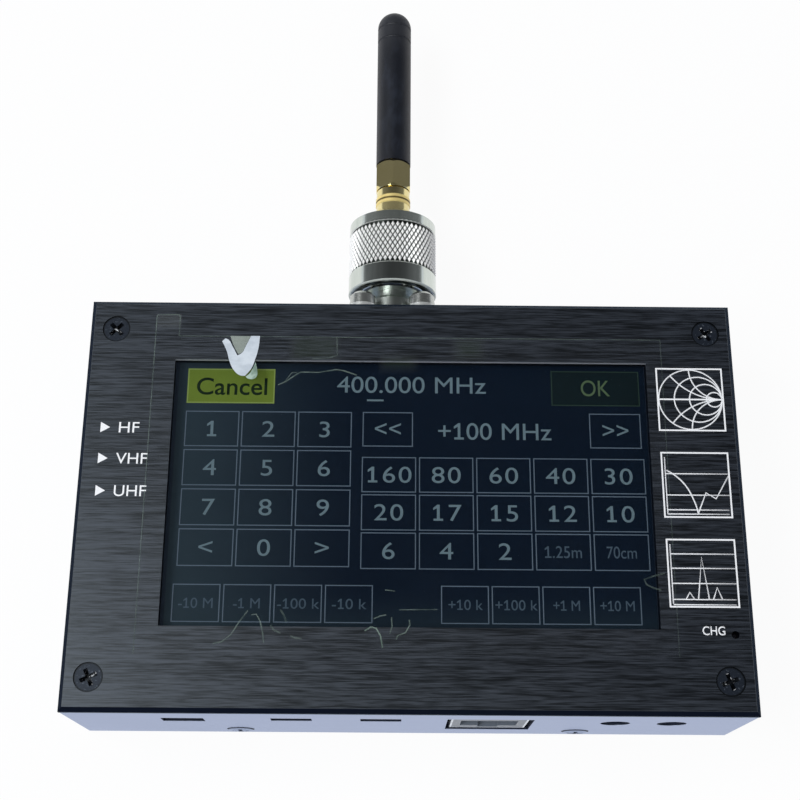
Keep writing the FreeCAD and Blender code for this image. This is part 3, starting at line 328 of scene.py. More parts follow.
def raisedZinc():  # a bright crown; the head's edge and its recess below it are painted dark as shade
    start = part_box("cover_screws")[1].y - crown["depth"] * mm
    finish = Finish("raisedZinc", {"Specular Tint": (0.8, 0.87, 1.0, 1)})
    turned = finish.noise(2200, 2200, 2200, 3)
    along = finish.axis("Y")
    height = along.maths("ABSOLUTE")
    top = finish.step(height, start, start + crown["soft"] * mm)
    bright = finish.mix(turned, shade(132, 143, 170), shade(170, 180, 204))
    return finish.look(finish.mix(top, shade(26, 33, 48), bright), 0.62 - 0.3 * top + 0.1 * turned,
                       turned, 0.00001, metallic=0.2 + 0.6 * top)


def moulded(name, dark, light, roughness, fine=3200, depth=0.00002, refraction=1.46):
    finish = Finish(name, {"IOR": refraction})
    skin = finish.noise(fine, fine, fine, 4)
    cloud = finish.noise(60, 60, 60, 2)
    return finish.look(finish.mix(skin * 0.5 + cloud * 0.5, shade(*dark), shade(*light)),
                       roughness + 0.15 * skin, skin, depth)


sleeve = {"worn": 16, "tip": 4}  # where the paler end starts and is full, in mm from the tip


def rubberSleeve():
    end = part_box("antenna_sheath")[1].y
    finish = Finish("rubberSleeve", {"IOR": 1.48})
    skin = finish.noise(3600, 1800, 3600, 4)
    dust = finish.noise(420, 160, 420, 3)
    along = finish.axis("Y")
    tip = finish.step(along, end - sleeve["worn"] * mm, end - sleeve["tip"] * mm)
    black = finish.mix(finish.step(dust, 0.45, 0.8), shade(15, 19, 29), shade(32, 38, 51))
    return finish.look(finish.mix(tip * 0.6, black, shade(52, 54, 60)), 0.4 + 0.22 * skin, skin,
                       0.00003)


def circuitBoard(name, mask, track):
    finish = Finish(name, {"IOR": 1.5})
    lanes = finish.node("ShaderNodeTexVoronoi", {"feature": "DISTANCE_TO_EDGE"}, {
        "Vector": finish.place(420, 420, 420), "Scale": 1.0})
    copper = finish.step(lanes, 0.05, 0.09)
    return finish.look(finish.mix(copper, shade(*track), shade(*mask)), 0.3 + 0.2 * copper, copper,
                       0.00003)


def woundCopper():
    finish = Finish("woundCopper", {"Metallic": 0.9})
    phase = finish.axis("Y") * 9500
    height = phase.maths("SINE") * 0.5 + 0.5
    # the valleys between the turns are painted dark as shade
    return finish.look(finish.mix(height, shade(95, 42, 18), shade(205, 118, 62)), 0.42 - 0.16 * height,
                       height, 0.0001)


def clearGlass():  # the touch glass: clear, a little tinted, with a weak gloss
    finish = Finish("clearGlass", {"Base Color": shade(150, 165, 180), "IOR": 1.45})
    smear = finish.step(finish.noise(55, 95, 55, 4), 0.45, 0.8)
    finish.feed("Roughness", 0.03 + 0.1 * smear)
    finish.seeThrough(0.001 + 0.003 * smear, (0.97, 0.985, 0.99, 1))
    return finish.material


def clearAcrylic():
    finish = Finish("clearAcrylic", {"IOR": 1.49})
    cells = finish.node("ShaderNodeTexVoronoi", {}, {
        "Vector": finish.place(900, 900, 900), "Scale": 1.0})
    dots = finish.step(cells, 0.2, 0.35)
    return finish.look(finish.mix(dots, shade(250, 252, 255), shade(215, 222, 230)), 0.12 + 0.2 * dots)


def battery():
    finish = Finish("batteryFoil", {"Metallic": 0.45})
    crease = finish.noise(150, 60, 150, 5)
    return finish.look(finish.mix(crease, shade(150, 154, 160), shade(198, 202, 208)),
                       0.28 + 0.2 * crease, crease, 0.0003)


slotFinish = {
    "panel_black": brushedPanel(),
    "frame_silver": satinFrame(),
    "black_steel": blackOxide(),
    "zinc_steel": plated("zincPlate", (160, 163, 160), (216, 218, 214), 0.2, 0.92),
    "nickel": nickelPlate(),
    "gold": goldPlate(),
    "film_clear": moulded("filmPlain", (205, 210, 215), (225, 230, 235), 0.2),
    "screen_glass": clearGlass(),
    "lcd_dark": moulded("lcdCell", (9, 12, 18), (15, 19, 27), 0.15, 900),
    "guide_acrylic": clearAcrylic(),
    "foam_black": moulded("blackFoam", (14, 14, 15), (34, 34, 36), 0.75, 1500, 0.0002),
    "tray_steel": plated("stampedSteel", (160, 163, 170), (222, 225, 230), 0.24),
    "board_green": circuitBoard("greenBoard", (12, 72, 40), (34, 104, 60)),
    "board_blue": circuitBoard("blueBoard", (14, 40, 104), (40, 74, 140)),
    "black_plastic": moulded("blackPlastic", (16, 17, 19), (34, 35, 38), 0.4),
    "white_plastic": moulded("whitePlastic", (214, 212, 204), (236, 234, 227), 0.4),
    "ptfe_white": moulded("fluoroPlastic", (225, 224, 218), (242, 242, 238), 0.3, 1600),
    "led_red": moulded("ledLens", (44, 46, 56), (62, 58, 66), 0.3, 1200),
    "battery_wrap": battery(),
    "lead_jacket": moulded("leadJacket", (120, 14, 16), (160, 26, 24), 0.4, 1800),
    "copper": woundCopper(),
    "antenna_black": rubberSleeve(),
}

nodeFinish = {
    "ethernet_insert": moulded("greyInsert", (88, 97, 110), (130, 139, 152), 0.35),
    "ethernet_shell": plated("tinShell", (214, 222, 234), (240, 244, 250), 0.3, 0.2),
    "audio_jacks": moulded("jackBody", (18, 26, 44), (32, 41, 60), 0.6, refraction=1.1),
    "cover_screws": raisedZinc(),
    "flange_washers": plated("brightWasher", (222, 225, 222), (246, 247, 245), 0.25, 0.6),
}

for part in frame["record"]["subparts"]:  # each CAD node takes the finish of its slot, or its own
    cad = frame["nodes"][part["node"]]
    if not cad.material_slots:
        cad.data.materials.append(None)
    for place in cad.material_slots:
        place.material = nodeFinish.get(part["node"], slotFinish[part["material_slot"]])
print("finishes on the CAD nodes done")


# shared ways of modelling

def deselectAll():
    if bpy.context.mode != "OBJECT":
        bpy.ops.object.mode_set(mode="OBJECT")
    bpy.ops.object.select_all(action="DESELECT")


def pick(piece):
    deselectAll()
    piece.select_set(True)
    bpy.context.view_layer.objects.active = piece


def editAll(piece):
    pick(piece)
    bpy.ops.object.mode_set(mode="EDIT")
    bpy.ops.mesh.select_all(action="SELECT")


def faceOut(piece):  # doubles merged, then faces turned outwards
    editAll(piece)
    bpy.ops.mesh.remove_doubles(threshold=1e-7)
    bpy.ops.mesh.normals_make_consistent(inside=False)
    bpy.ops.object.mode_set(mode="OBJECT")


def placed(piece):  # its place, turn and scale go into its mesh
    pick(piece)
    bpy.ops.object.transform_apply()
    return piece


def added(name, data):
    thing = bpy.data.objects.new(name, data)
    bpy.context.scene.collection.objects.link(thing)
    return thing


def moved(piece, across, along, up=0):  # in mm
    piece.data.transform(Matrix.Translation((across * mm, along * mm, up * mm)))
    return piece


def copyOf(piece, across, along):
    return moved(added(piece.name, piece.data.copy()), across, along)


def joined(pieces, name):
    deselectAll()
    for piece in pieces:
        piece.select_set(True)
    bpy.context.view_layer.objects.active = pieces[0]
    bpy.ops.object.join()
    whole = bpy.context.object
    whole.name = whole.data.name = name
    return whole


def dress(piece, body, material):
    piece.data.materials.clear()
    piece.data.materials.append(material)
    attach(piece, body)


def planeAt(left, right, low, high, level):  # sizes in mm
    deselectAll()
    middle = ((left + right) / 2 * mm, (low + high) / 2 * mm, level * mm)
    bpy.ops.mesh.primitive_plane_add(size=1, location=middle)
    plane = bpy.context.object
    plane.scale = ((right - left) * mm, (high - low) * mm, 1)
    return placed(plane)


def thickened(piece, thick):  # a flat piece extruded upwards
    editAll(piece)
    bpy.ops.mesh.extrude_region_move(TRANSFORM_OT_translate={"value": (0, 0, thick * mm)})
    faceOut(piece)
    return piece


def sheetAt(left, right, low, high, level, thick):  # a thin printed area
    return thickened(planeAt(left, right, low, high, level), thick)


def outlineAt(left, right, low, high, level, thick, line):  # a thin rectangular outline
    ring = planeAt(left, right, low, high, level)
    editAll(ring)
    bpy.ops.mesh.inset(thickness=line * mm, depth=0)
    bpy.ops.mesh.delete(type="FACE")
    return thickened(ring, thick)


def curveOf(points, smooth, closed):  # points in mm
    path = bpy.data.curves.new("drawn", "CURVE")
    path.resolution_u = 8
    line = path.splines.new("BEZIER" if smooth else "POLY")
    knots = line.bezier_points if smooth else line.points
    knots.add(len(points) - 1)
    for number, (knot, (across, along)) in enumerate(zip(knots, points)):
        if smooth:
            before, after = points[number - 1], points[(number + 1) % len(points)]
            come = Vector((across - before[0], along - before[1]))
            leave = Vector((after[0] - across, after[1] - along))
            knot.co = (across * mm, along * mm, 0)
            kind = "VECTOR" if come.angle(leave) > 1 else "AUTO"
            knot.handle_left_type = knot.handle_right_type = kind
        else:
            knot.co = (across * mm, along * mm, 0, 1)
    line.use_cyclic_u = closed
    return added("drawn", path)


def asMesh(drawn, level):
    pick(drawn)
    bpy.ops.object.convert(target="MESH")
    return moved(bpy.context.object, 0, 0, level)


def strokeAt(points, level, width, smooth=False, closed=False):  # a drawn line
    drawn = curveOf(points, smooth, closed)
    drawn.data.dimensions = "3D"
    drawn.data.bevel_depth = width / 2 * mm
    drawn.data.bevel_resolution = 0
    drawn.data.use_fill_caps = not closed
    drawn.scale = (1, 1, 0.04)  # pressed flat, as ink is
    drawn = moved(placed(asMesh(drawn, 0)), 0, 0, level)
    faceOut(drawn)
    return drawn


def patchAt(points, level, thick, smooth=False):  # a flat filled shape
    drawn = curveOf(points, smooth, True)
    drawn.data.dimensions = "2D"
    drawn.data.fill_mode = "BOTH"
    drawn.data.extrude = thick / 2 * mm
    drawn = asMesh(drawn, level)
    if thick:
        faceOut(drawn)
    return drawn


def figureOne(bar, level):  # the built-in font's figure one is a plain bar: a flag and a foot are added
    left, right = (end(corner.co.x for corner in bar.data.vertices) / mm for end in (min, max))
    low, top = (end(corner.co.y for corner in bar.data.vertices) / mm for end in (min, max))
    bpy.data.objects.remove(bar)
    tall = top - low
    out, foot, flag = 0.2 * tall, 0.13 * tall, 0.22 * tall
    shape = [(left, low + foot), (left - out, low + foot), (left - out, low), (right + out, low),
             (right + out, low + foot), (right, low + foot), (right, top), (left + 0.03 * tall, top),
             (left - flag, top - 0.2 * tall), (left - flag, top - 0.34 * tall), (left, top - flag)]
    return patchAt(shape, level, 0)


def isBar(sign, capital):  # a figure one among the loose signs
    return len(sign.data.vertices) == 4 and sign.dimensions.y > 0.8 * capital * mm


def wordsAt(text, across, along, level, capital, width=None, weight=0.0):  # middle, in mm
    deselectAll()
    bpy.ops.object.text_add()
    words = bpy.context.object
    words.data.body = text
    words.data.align_x = "CENTER"
    words.data.offset = weight
    if width is None:
        words.data.space_character = screen["spacing"]
    bpy.ops.object.convert(target="MESH")
    words = bpy.context.object
    tall = capital / capitalShare
    wide = tall * screen["stretch"] if width is None else width / words.dimensions.x
    words.scale = (wide * mm, tall * mm, 1)
    moved(placed(words), across, along - capital / 2, level)
    if "1" in text:
        editAll(words)
        bpy.ops.mesh.separate(type="LOOSE")
        bpy.ops.object.mode_set(mode="OBJECT")
        signs = list(bpy.context.selected_objects)
        bars = [sign for sign in signs if isBar(sign, capital)]
        bars = sorted(bars, key=lambda bar: bar.data.vertices[0].co.x)[:text.count("1")]
        others = [sign for sign in signs if sign not in bars]
        words = joined(others + [figureOne(bar, level) for bar in bars], "words")
    return thickened(words, screen["thick"])


def capitalHeight():  # height of a capital in the built-in font, at size 1
    deselectAll()
    bpy.ops.object.text_add()
    letter = bpy.context.object
    letter.data.body = "H"
    bpy.context.view_layer.update()
    tall = letter.dimensions.y
    bpy.data.objects.remove(letter)
    return tall


capitalShare = capitalHeight()


# the screen's picture, a thin layer on the LCD under the touch glass

screen = {  # sizes in mm
    "level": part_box("lcd_panel")[1].z / mm, "thick": 0.012, "layer": 0.016, "upperLayer": 0.014,
    "glow": 0.4, "share": 0.72, "line": 0.22, "digit": 3.5, "stretch": 1.2, "spacing": 1.12,
    "active": (-50.4, 50.9, -27.3, 31.2), "border": 0.2, "soft": 0.3,
    "paintedPale": (-62, -8), "haze": (-33, -18),  # where each band of painted light starts to fade and has gone
    # groups of keys, with a width for each name that is small
    "keys": {"first": (-48.6, -37.0, 12.05, 20.1), "pitch": (12.15, 8.73), "columns": 3,
             "names": dict.fromkeys("123456789<0>")},
    "bands": {"first": (-10.4, 1.2, 2.1, 9.95), "pitch": (12.22, 8.3), "columns": 5, "small": 2.5,
              "names": dict.fromkeys("160 80 60 40 30 20 17 15 12 10 6 4 2".split())
              | {"1.25m": 7.2, "70cm": 6.3}},
    "down": {"first": (-49.1, -39.2, -25.85, -17.9), "pitch": (10.5, 0), "columns": 4, "small": 2.1,
             "names": {"-10 M": 7.1, "-1 M": 5.5, "-100 k": 8.7, "-10 k": 7.1}},
    "up": {"first": (6.4, 16.3, -25.85, -17.9), "pitch": (10.5, 0), "columns": 4, "small": 2.1,
           "names": {"+10 k": 7.1, "+100 k": 8.7, "+1 M": 5.5, "+10 M": 7.1}},
    "arrowKeys": [(-10.35, 0.5, 12.3, 20.15), (38.6, 49.7, 12.3, 20.2)],
    "readings": [  # text, middle, height of a capital, width
        ("<<", -4.9, 16.3, 3.6, 5.6), (">>", 44.2, 16.3, 3.6, 5.6),
        ("+100 MHz", 18.0, 15.9, 3.7, 24.4), ("400.000 MHz", 0.15, 26.45, 3.7, 32.4),
    ],
    "cursor": (-9.5, -5.9, 22.65, 23.05),
    "cancel": {"key": (-48.4, -29.8, 22.1, 29.7), "rim": (-48.6, -29.6, 21.9, 29.9), "line": 0.3,
               "word": ("Cancel", -38.85, 25.8), "size": (3.8, 15.3, 0.01)},
    "ok": {"key": (30.6, 49.8, 21.95, 30.0), "rim": (30.6, 49.8, 21.95, 30.0), "line": 0.22,
           "word": ("OK", 40.15, 26.05), "size": (3.6, 6.3, 0.0)},
    "colours": {
        "line": (84, 97, 111), "text": (95, 113, 122), "small": (64, 78, 91),
        "olive": (96, 114, 44), "oliveRim": (120, 138, 74), "oliveText": (24, 38, 24),
        "green": (14, 27, 31), "greenRim": (40, 56, 48), "greenText": (76, 94, 70),
    },
}


def litFinish(name):  # a screen that glows a little and hardly reflects
    return Finish(name, {
        "Roughness": 0.4, "Specular IOR Level": 0.03, "Emission Strength": screen["glow"]})


def glowing(finish, tone):
    finish.feed("Base Color", tone)
    finish.feed("Emission Color", tone)
    return finish.material


def litScreen(tone):  # a lit liquid crystal: fine pixels, a softer edge
    finish = litFinish("screen" + tone[0].upper() + tone[1:])
    pixel = finish.node("ShaderNodeTexBrick", {"offset": 0.0}, {
        "Vector": finish.place(5000, 5000, 5000), "Scale": 1.0, "Brick Width": 1.0, "Row Height": 1.0,
        "Mortar Size": 0.09, "Color1": (1, 1, 1, 1), "Color2": (0.93, 0.93, 0.93, 1),
        "Mortar": (0.78, 0.78, 0.78, 1)})
    cloud = finish.noise(24, 24, 24, 2)
    level = shade(*screen["colours"][tone])[:3]
    low, high = (tuple(part * gain * screen["share"] for part in level) + (1,) for gain in (0.85, 1.2))
    return glowing(finish, finish.node("ShaderNodeMix", {"data_type": "RGBA", "blend_type": "MULTIPLY"}, {
        0: 1.0, 6: finish.mix(cloud, low, high), 7: pixel}, 2))


def screenGround():  # dark printed border, navy picture area, with painted light that makes it a little paler on the left and below
    left, right, low, high = (edge * mm for edge in screen["active"])
    soft = screen["soft"] * mm
    finish = litFinish("screenGround")
    across, along = finish.axis("X"), finish.axis("Y")
    inside = (finish.band(across, left - soft, right + soft, soft)
              * finish.band(along, low - soft, high + soft, soft))
    cloud = finish.noise(18, 26, 18, 3)
    pixel = finish.noise(4500, 4500, 4500, 1)
    grain = cloud * 0.7 + pixel * 0.3
    paintedPale = finish.mix(grain, shade(30, 40, 47), shade(36, 47, 54))
    deep = finish.mix(grain, shade(4, 12, 23), shade(7, 17, 30))
    side, below = (finish.step(where, *(place * mm for place in screen[name]))
                   for where, name in ((across, "paintedPale"), (along, "haze")))
    # painted light: the picture is paler on the left and below
    picture = finish.mix(side, paintedPale, deep)
    picture = finish.mix(0.5 - 0.5 * below, picture, shade(34, 46, 52))
    return glowing(finish, finish.mix(inside, shade(24, 31, 41), picture))


def lightUp(piece, name, tone):
    piece.name = name
    dress(piece, "case", litScreen(tone))


def keyPad(plan, level, lines, texts, smalls):  # outlined keys in rows, with a name on each
    pad = screen[plan]
    left, right, low, high = pad["first"]
    first = outlineAt(*pad["first"], level, screen["thick"], screen["line"])
    lines.append(first)
    for number, (name, width) in enumerate(pad["names"].items()):
        across = number % pad["columns"] * pad["pitch"][0]
        along = -(number // pad["columns"]) * pad["pitch"][1]
        if number:
            lines.append(copyOf(first, across, along))
        middle = ((left + right) / 2 + across, (low + high) / 2 + along)
        if width:
            smalls.append(wordsAt(name, *middle, level, pad["small"], width))
        else:
            texts.append(wordsAt(name, *middle, level, screen["digit"]))


def filledKey(name, tone, level):  # a filled key, its rim and its word
    plan, thick = screen[name], screen["thick"]
    upper = level + screen["upperLayer"]
    lightUp(sheetAt(*plan["key"], level, thick), name + "Key", tone)
    lightUp(outlineAt(*plan["rim"], upper, thick, plan["line"]), name + "Rim", tone + "Rim")
    lightUp(wordsAt(*plan["word"], upper, *plan["size"]), name + "Word", tone + "Text")


def drawScreen():
    thick, border = screen["thick"], screen["border"] * mm
    base = screen["level"] + thick
    level = base + screen["layer"]
    low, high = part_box("touch_glass")
    ground = sheetAt((low.x + border) / mm, (high.x - border) / mm, (low.y + border) / mm,
                     (high.y - border) / mm, base, thick)
    ground.name = "screenGround"
    dress(ground, "case", screenGround())

    lines, texts, smalls = [], [], []
    for plan in ("keys", "bands", "down", "up"):
        keyPad(plan, level, lines, texts, smalls)
    lines += [outlineAt(*place, level, thick, screen["line"]) for place in screen["arrowKeys"]]
    for text, across, along, capital, width in screen["readings"]:
        texts.append(wordsAt(text, across, along, level, capital, width))
    texts.append(sheetAt(*screen["cursor"], level, thick))
    for pieces, name, tone in ((lines, "screenLines", "line"), (texts, "screenText", "text"),
                               (smalls, "screenSmallText", "small")):
        lightUp(joined(pieces, name), name, tone)
    filledKey("cancel", "olive", level)
    filledKey("ok", "green", level)


drawScreen()
print("screen drawn")


# white ink on the front panel

ink = {  # sizes in mm
    "line": 0.34, "thick": 0.014, "lift": 0.002,
    "icon": 14.4, "iconLeft": 52.9, "bottoms": (15.2, -3.9, -22.8),
    "circles": (1, 0.754, 0.513, 0.243), "circle": 6.8,
    "bands": {"HF": (15.0, 4.3), "VHF": (8.1, 6.6), "UHF": (1.0, 6.7)},  # place along, width
    "bandLeft": -62.15, "bandCapital": 2.35, "arrow": (-65.3, 1.35),
    "charge": ("CHG", 61.6, -27.5), "chargeSize": (1.75, 4.6, 0.01),
}


def whiteInk():
    finish = Finish("whiteInk", {"IOR": 1.45})
    pores = finish.noise(6000, 6000, 6000, 3)
    worn = finish.step(pores, 0.3, 0.42)
    return finish.look(finish.mix(worn, shade(196, 200, 206), shade(244, 246, 250)), 0.45 + 0.2 * pores,
                       pores, 0.00001)


def arc(centre, radius, start, end, steps):  # degrees, from start to end
    turns = [math.radians(start + (end - start) * number / steps) for number in range(steps + 1)]
    return [(centre[0] + radius * math.cos(turn), centre[1] + radius * math.sin(turn)) for turn in turns]


def roundChart(left, low, level):  # circles that meet at the right, and arcs of constant reactance
    centre = (left + ink["icon"] / 2, low + ink["icon"] / 2)
    radius = ink["circle"]
    right = centre[0] + radius
    half = ink["line"] / 2
    drawn = [sheetAt(centre[0] - radius, right, centre[1] - half, centre[1] + half, level, ink["thick"])]
    for share in ink["circles"]:
        ring = arc((right - radius * share, centre[1]), radius * share, 0, 360, 60)[:-1]
        drawn.append(strokeAt(ring, level, ink["line"], closed=True))
    for reactance in (1.0, 0.5):
        bow = radius / reactance
        sweep = 2 * math.degrees(math.atan(reactance))
        for side in (1, -1):
            middle = (right, centre[1] + side * bow)
            curve = arc(middle, bow, -side * 90, -side * (90 + sweep), 24)
            drawn.append(strokeAt(curve, level, ink["line"]))
    return drawn


def drawnIn(left, low, level, points, smooth=False, line=ink["line"]):  # points as shares of the icon
    size = ink["icon"]
    places = [(left + size * along, low + size * (1 - down)) for along, down in points]
    return strokeAt(places, level, line, smooth)


def rulings(left, low, level, across, under):  # a vertical axis, long lines, then short ones
    lines = [[(0.057, 0.08), (0.057, 0.95)]]
    lines += [[(0.057, down), (1.0, down)] for down in across]
    lines += [[(0.057, down), (0.953, down)] for down in under]
    return [drawnIn(left, low, level, points, line=ink["line"] * 0.85) for points in lines]


def dipChart(left, low, level):  # a standing wave curve with its dip
    fall = [(0.075, 0.28), (0.171, 0.34), (0.298, 0.456), (0.39, 0.593), (0.44, 0.713), (0.476, 0.816),
            (0.5, 0.935)]
    rise = [(0.5, 0.935), (0.63, 0.62), (0.773, 0.71), (0.983, 0.355)]
    return rulings(left, low, level, (0.333, 0.657), (0.88, 0.943)) + [
        drawnIn(left, low, level, fall, True), drawnIn(left, low, level, rise)]


def peakChart(left, low, level):  # a spectrum: one tall peak between two low ones
    base = 0.883
    peaks = [(0.24, 0.298, 0.363, 0.78), (0.418, 0.4975, 0.573, 0.264), (0.63, 0.692, 0.76, 0.71)]
    return rulings(left, low, level, (0.222, 0.432, 0.652), (base, 0.958)) + [
        drawnIn(left, low, level, [(start, base), (middle, height), (end, base)])
        for start, middle, end, height in peaks]


def bandArrow(along, level):  # a small triangle that points at the screen
    across, radius = ink["arrow"]
    deselectAll()
    bpy.ops.mesh.primitive_circle_add(
        vertices=3, radius=radius * mm, fill_type="NGON",
        location=(across * mm, along * mm, level * mm), rotation=(0, 0, math.radians(-90)))
    return thickened(placed(bpy.context.object), ink["thick"])


def printPanel():
    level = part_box("front_panel")[1].z / mm + ink["lift"]
    left, size, bottoms = ink["iconLeft"], ink["icon"], ink["bottoms"]
    first = outlineAt(left, left + size, bottoms[0], bottoms[0] + size, level, ink["thick"], ink["line"])
    drawn = [first] + [copyOf(first, 0, low - bottoms[0]) for low in bottoms[1:]]
    for chart, low in zip((roundChart, dipChart, peakChart), bottoms):
        drawn += chart(left, low, level)
    for name, (along, width) in ink["bands"].items():
        drawn.append(wordsAt(name, ink["bandLeft"] + width / 2, along, level, ink["bandCapital"], width))
        drawn.append(bandArrow(along, level))
    drawn.append(wordsAt(*ink["charge"], level, *ink["chargeSize"]))
    dress(joined(drawn, "panelInk"), "case", whiteInk())


printPanel()
print("panel printed")


# the clear film on the front, with its creases, its pull tab and a painted highlight on a lifted fold

film = {  # sizes in mm
    "cell": 1.1, "thick": 0.03, "lift": 0.01, "left": -55.75, "right": 54.4, "top": 36.22,
    "tab": {"right": -50.45, "high": 41.25, "base": 38.0, "rows": 4},
    "wave": (0.01, 0.21, 0.17),  # height, then radians a mm across and along
    "creaseLift": 0.07, "foldLift": 0.012, "foldStrength": {"tail": 0.9, "fold": 0.92, "pocket": 0.3},
    "cuts": {"inset": 0.1, "corner": (0.5, 0.15),  # then strength and width of each cut edge
             "left": (0.13, 0.2), "top": (0.13, 0.18), "right": (0.06, 0.18)},
    "tints": [(-25.7, -16.15, 30.9, 36.2), (-6.2, 0.7, 29.0, 31.6), (9.7, 15.45, 31.4, 36.0)],
    "creases": [  # strength, width, points
        (0.15, 0.32, [(-28.64, 24.92), (-27.02, 25.67), (-24.61, 27.46), (-23.79, 27.91), (-19.94, 27.88),
                      (-16.1, 28.57), (-14.44, 28.29), (-11.66, 27.28)]),
        (0.11, 0.24, [(-27.42, 25.37), (-25.72, 27.74), (-24.62, 27.84)]),
        (0.08, 0.29, [(-16.2, 36.18), (-16.03, 31.84), (-18.36, 31.16), (-21.4, 31.04)]),
        (0.14, 0.29, [(-32.96, -24.06), (-34.54, -26.29), (-36.21, -29.02), (-37.94, -30.45),
                      (-39.72, -30.85)]),
        (0.14, 0.29, [(-32.27, -24.97), (-31.24, -24.83), (-30.41, -26.26), (-29.8, -28.59),
                      (-29.51, -30.65)]),
        (0.08, 0.48, [(-26.4, -23.9), (-25.6, -25.0), (-25.1, -26.4)]),
        (0.08, 0.48, [(-28.3, -27.0), (-27.6, -28.0), (-26.2, -28.6)]),
        (0.08, 0.48, [(-24.2, -29.2), (-23.3, -29.6), (-21.9, -29.7)]),
        (0.31, 0.35, [(-9.21, -28.04), (-7.93, -27.26), (-6.89, -27.51), (-5.97, -29.05),
                      (-5.56, -31.5)]),
        (0.15, 0.29, [(-7.43, -25.56), (-6.15, -25.03), (-4.85, -24.76)]),
        (0.14, 0.29, [(-3.81, -25.27), (-3.67, -27.09), (-4.1, -28.65)]),
        (0.15, 0.32, [(-0.19, -25.77), (-0.06, -26.81), (-0.95, -28.37), (-2.5, -28.95), (-2.88, -29.8)]),
        (0.11, 0.26, [(-2.27, -23.7), (5.51, -23.63)]),
        (0.15, 0.26, [(-5.16, -19.64), (-3.08, -19.89)]),
        (0.07, 0.4, [(52.25, -15.69), (49.85, -16.37), (47.97, -17.05), (48.44, -18.11), (49.71, -18.76),
                     (51.38, -19.28)]),
    ],
    # the painted highlight: the white reflection of light on a lifted fold, with a pocket and a tail
    "fold": [(-41.13, 34.97), (-40.4, 35.63), (-39.67, 35.23), (-38.88, 33.92), (-37.67, 31.66),
             (-36.7, 32.26), (-35.89, 33.94), (-34.88, 36.24), (-32.94, 36.26), (-33.2, 33.25),
             (-33.76, 30.86), (-34.55, 28.6), (-35.8, 26.93), (-36.9, 27.04), (-38.28, 28.21),
             (-39.25, 30.1), (-40.04, 32.71)],
    "pocket": [(-39.4, 36.2), (-34.92, 36.2), (-35.93, 33.96), (-36.74, 32.3), (-37.5, 31.95),
               (-38.6, 34.0)],
    "tail": [(-33.67, 30.15), (-33.2, 28.02), (-33.21, 27.07), (-33.79, 26.31), (-35.11, 26.3),
             (-35.68, 26.7), (-34.83, 27.53), (-34.02, 29.2)],
}


def marked(piece, strength):  # how strongly a crease scatters light
    mark = piece.data.attributes.new("strength", "FLOAT", "POINT")
    for corner in mark.data:
        corner.value = strength
    return piece


def filmFinish():
    finish = Finish("creasedFilm", {"IOR": 1.45})
    tint, tab = finish.attribute("tint"), finish.attribute("tab")
    haze = finish.noise(60, 130, 60, 4)
    scuff = finish.step(finish.noise(900, 2400, 900, 4), 0.7, 0.8)
    finish.seeThrough(0.0005 + 0.001 * haze + 0.008 * scuff + 0.016 * tint + 0.018 * tab)
    return finish.look(finish.mix(tint, shade(214, 222, 222), shade(150, 175, 140)),
                       0.3 + 0.25 * haze, haze, 0.0001)


def creaseFinish():  # light caught along a crease or a cut edge
    finish = Finish("filmCrease", {"IOR": 1.45})
    strength = finish.attribute("strength")
    broken = finish.step(finish.noise(420, 420, 420, 3), 0.3, 0.6)
    finish.seeThrough(strength * (0.55 + 0.45 * broken))
    return finish.look(finish.mix(broken, shade(142, 168, 156), shade(178, 201, 190)),
                       0.35 + 0.2 * broken)


# a painted highlight: the white reflection of light on a lifted fold of the film
def foldHighlightFinish():
    finish = Finish("paintedFoldHighlight", {"IOR": 1.45})
    strength = finish.attribute("strength")
    sheen = finish.noise(260, 420, 260, 3)
    white = finish.mix(sheen, shade(196, 208, 222), shade(228, 236, 244))
    finish.seeThrough(strength * (0.85 + 0.15 * finish.step(sheen, 0.35, 0.6)))
    return finish.look(finish.mix(finish.step(strength, 0.4, 0.8), shade(200, 212, 204), white),
                       0.3 + 0.3 * sheen)


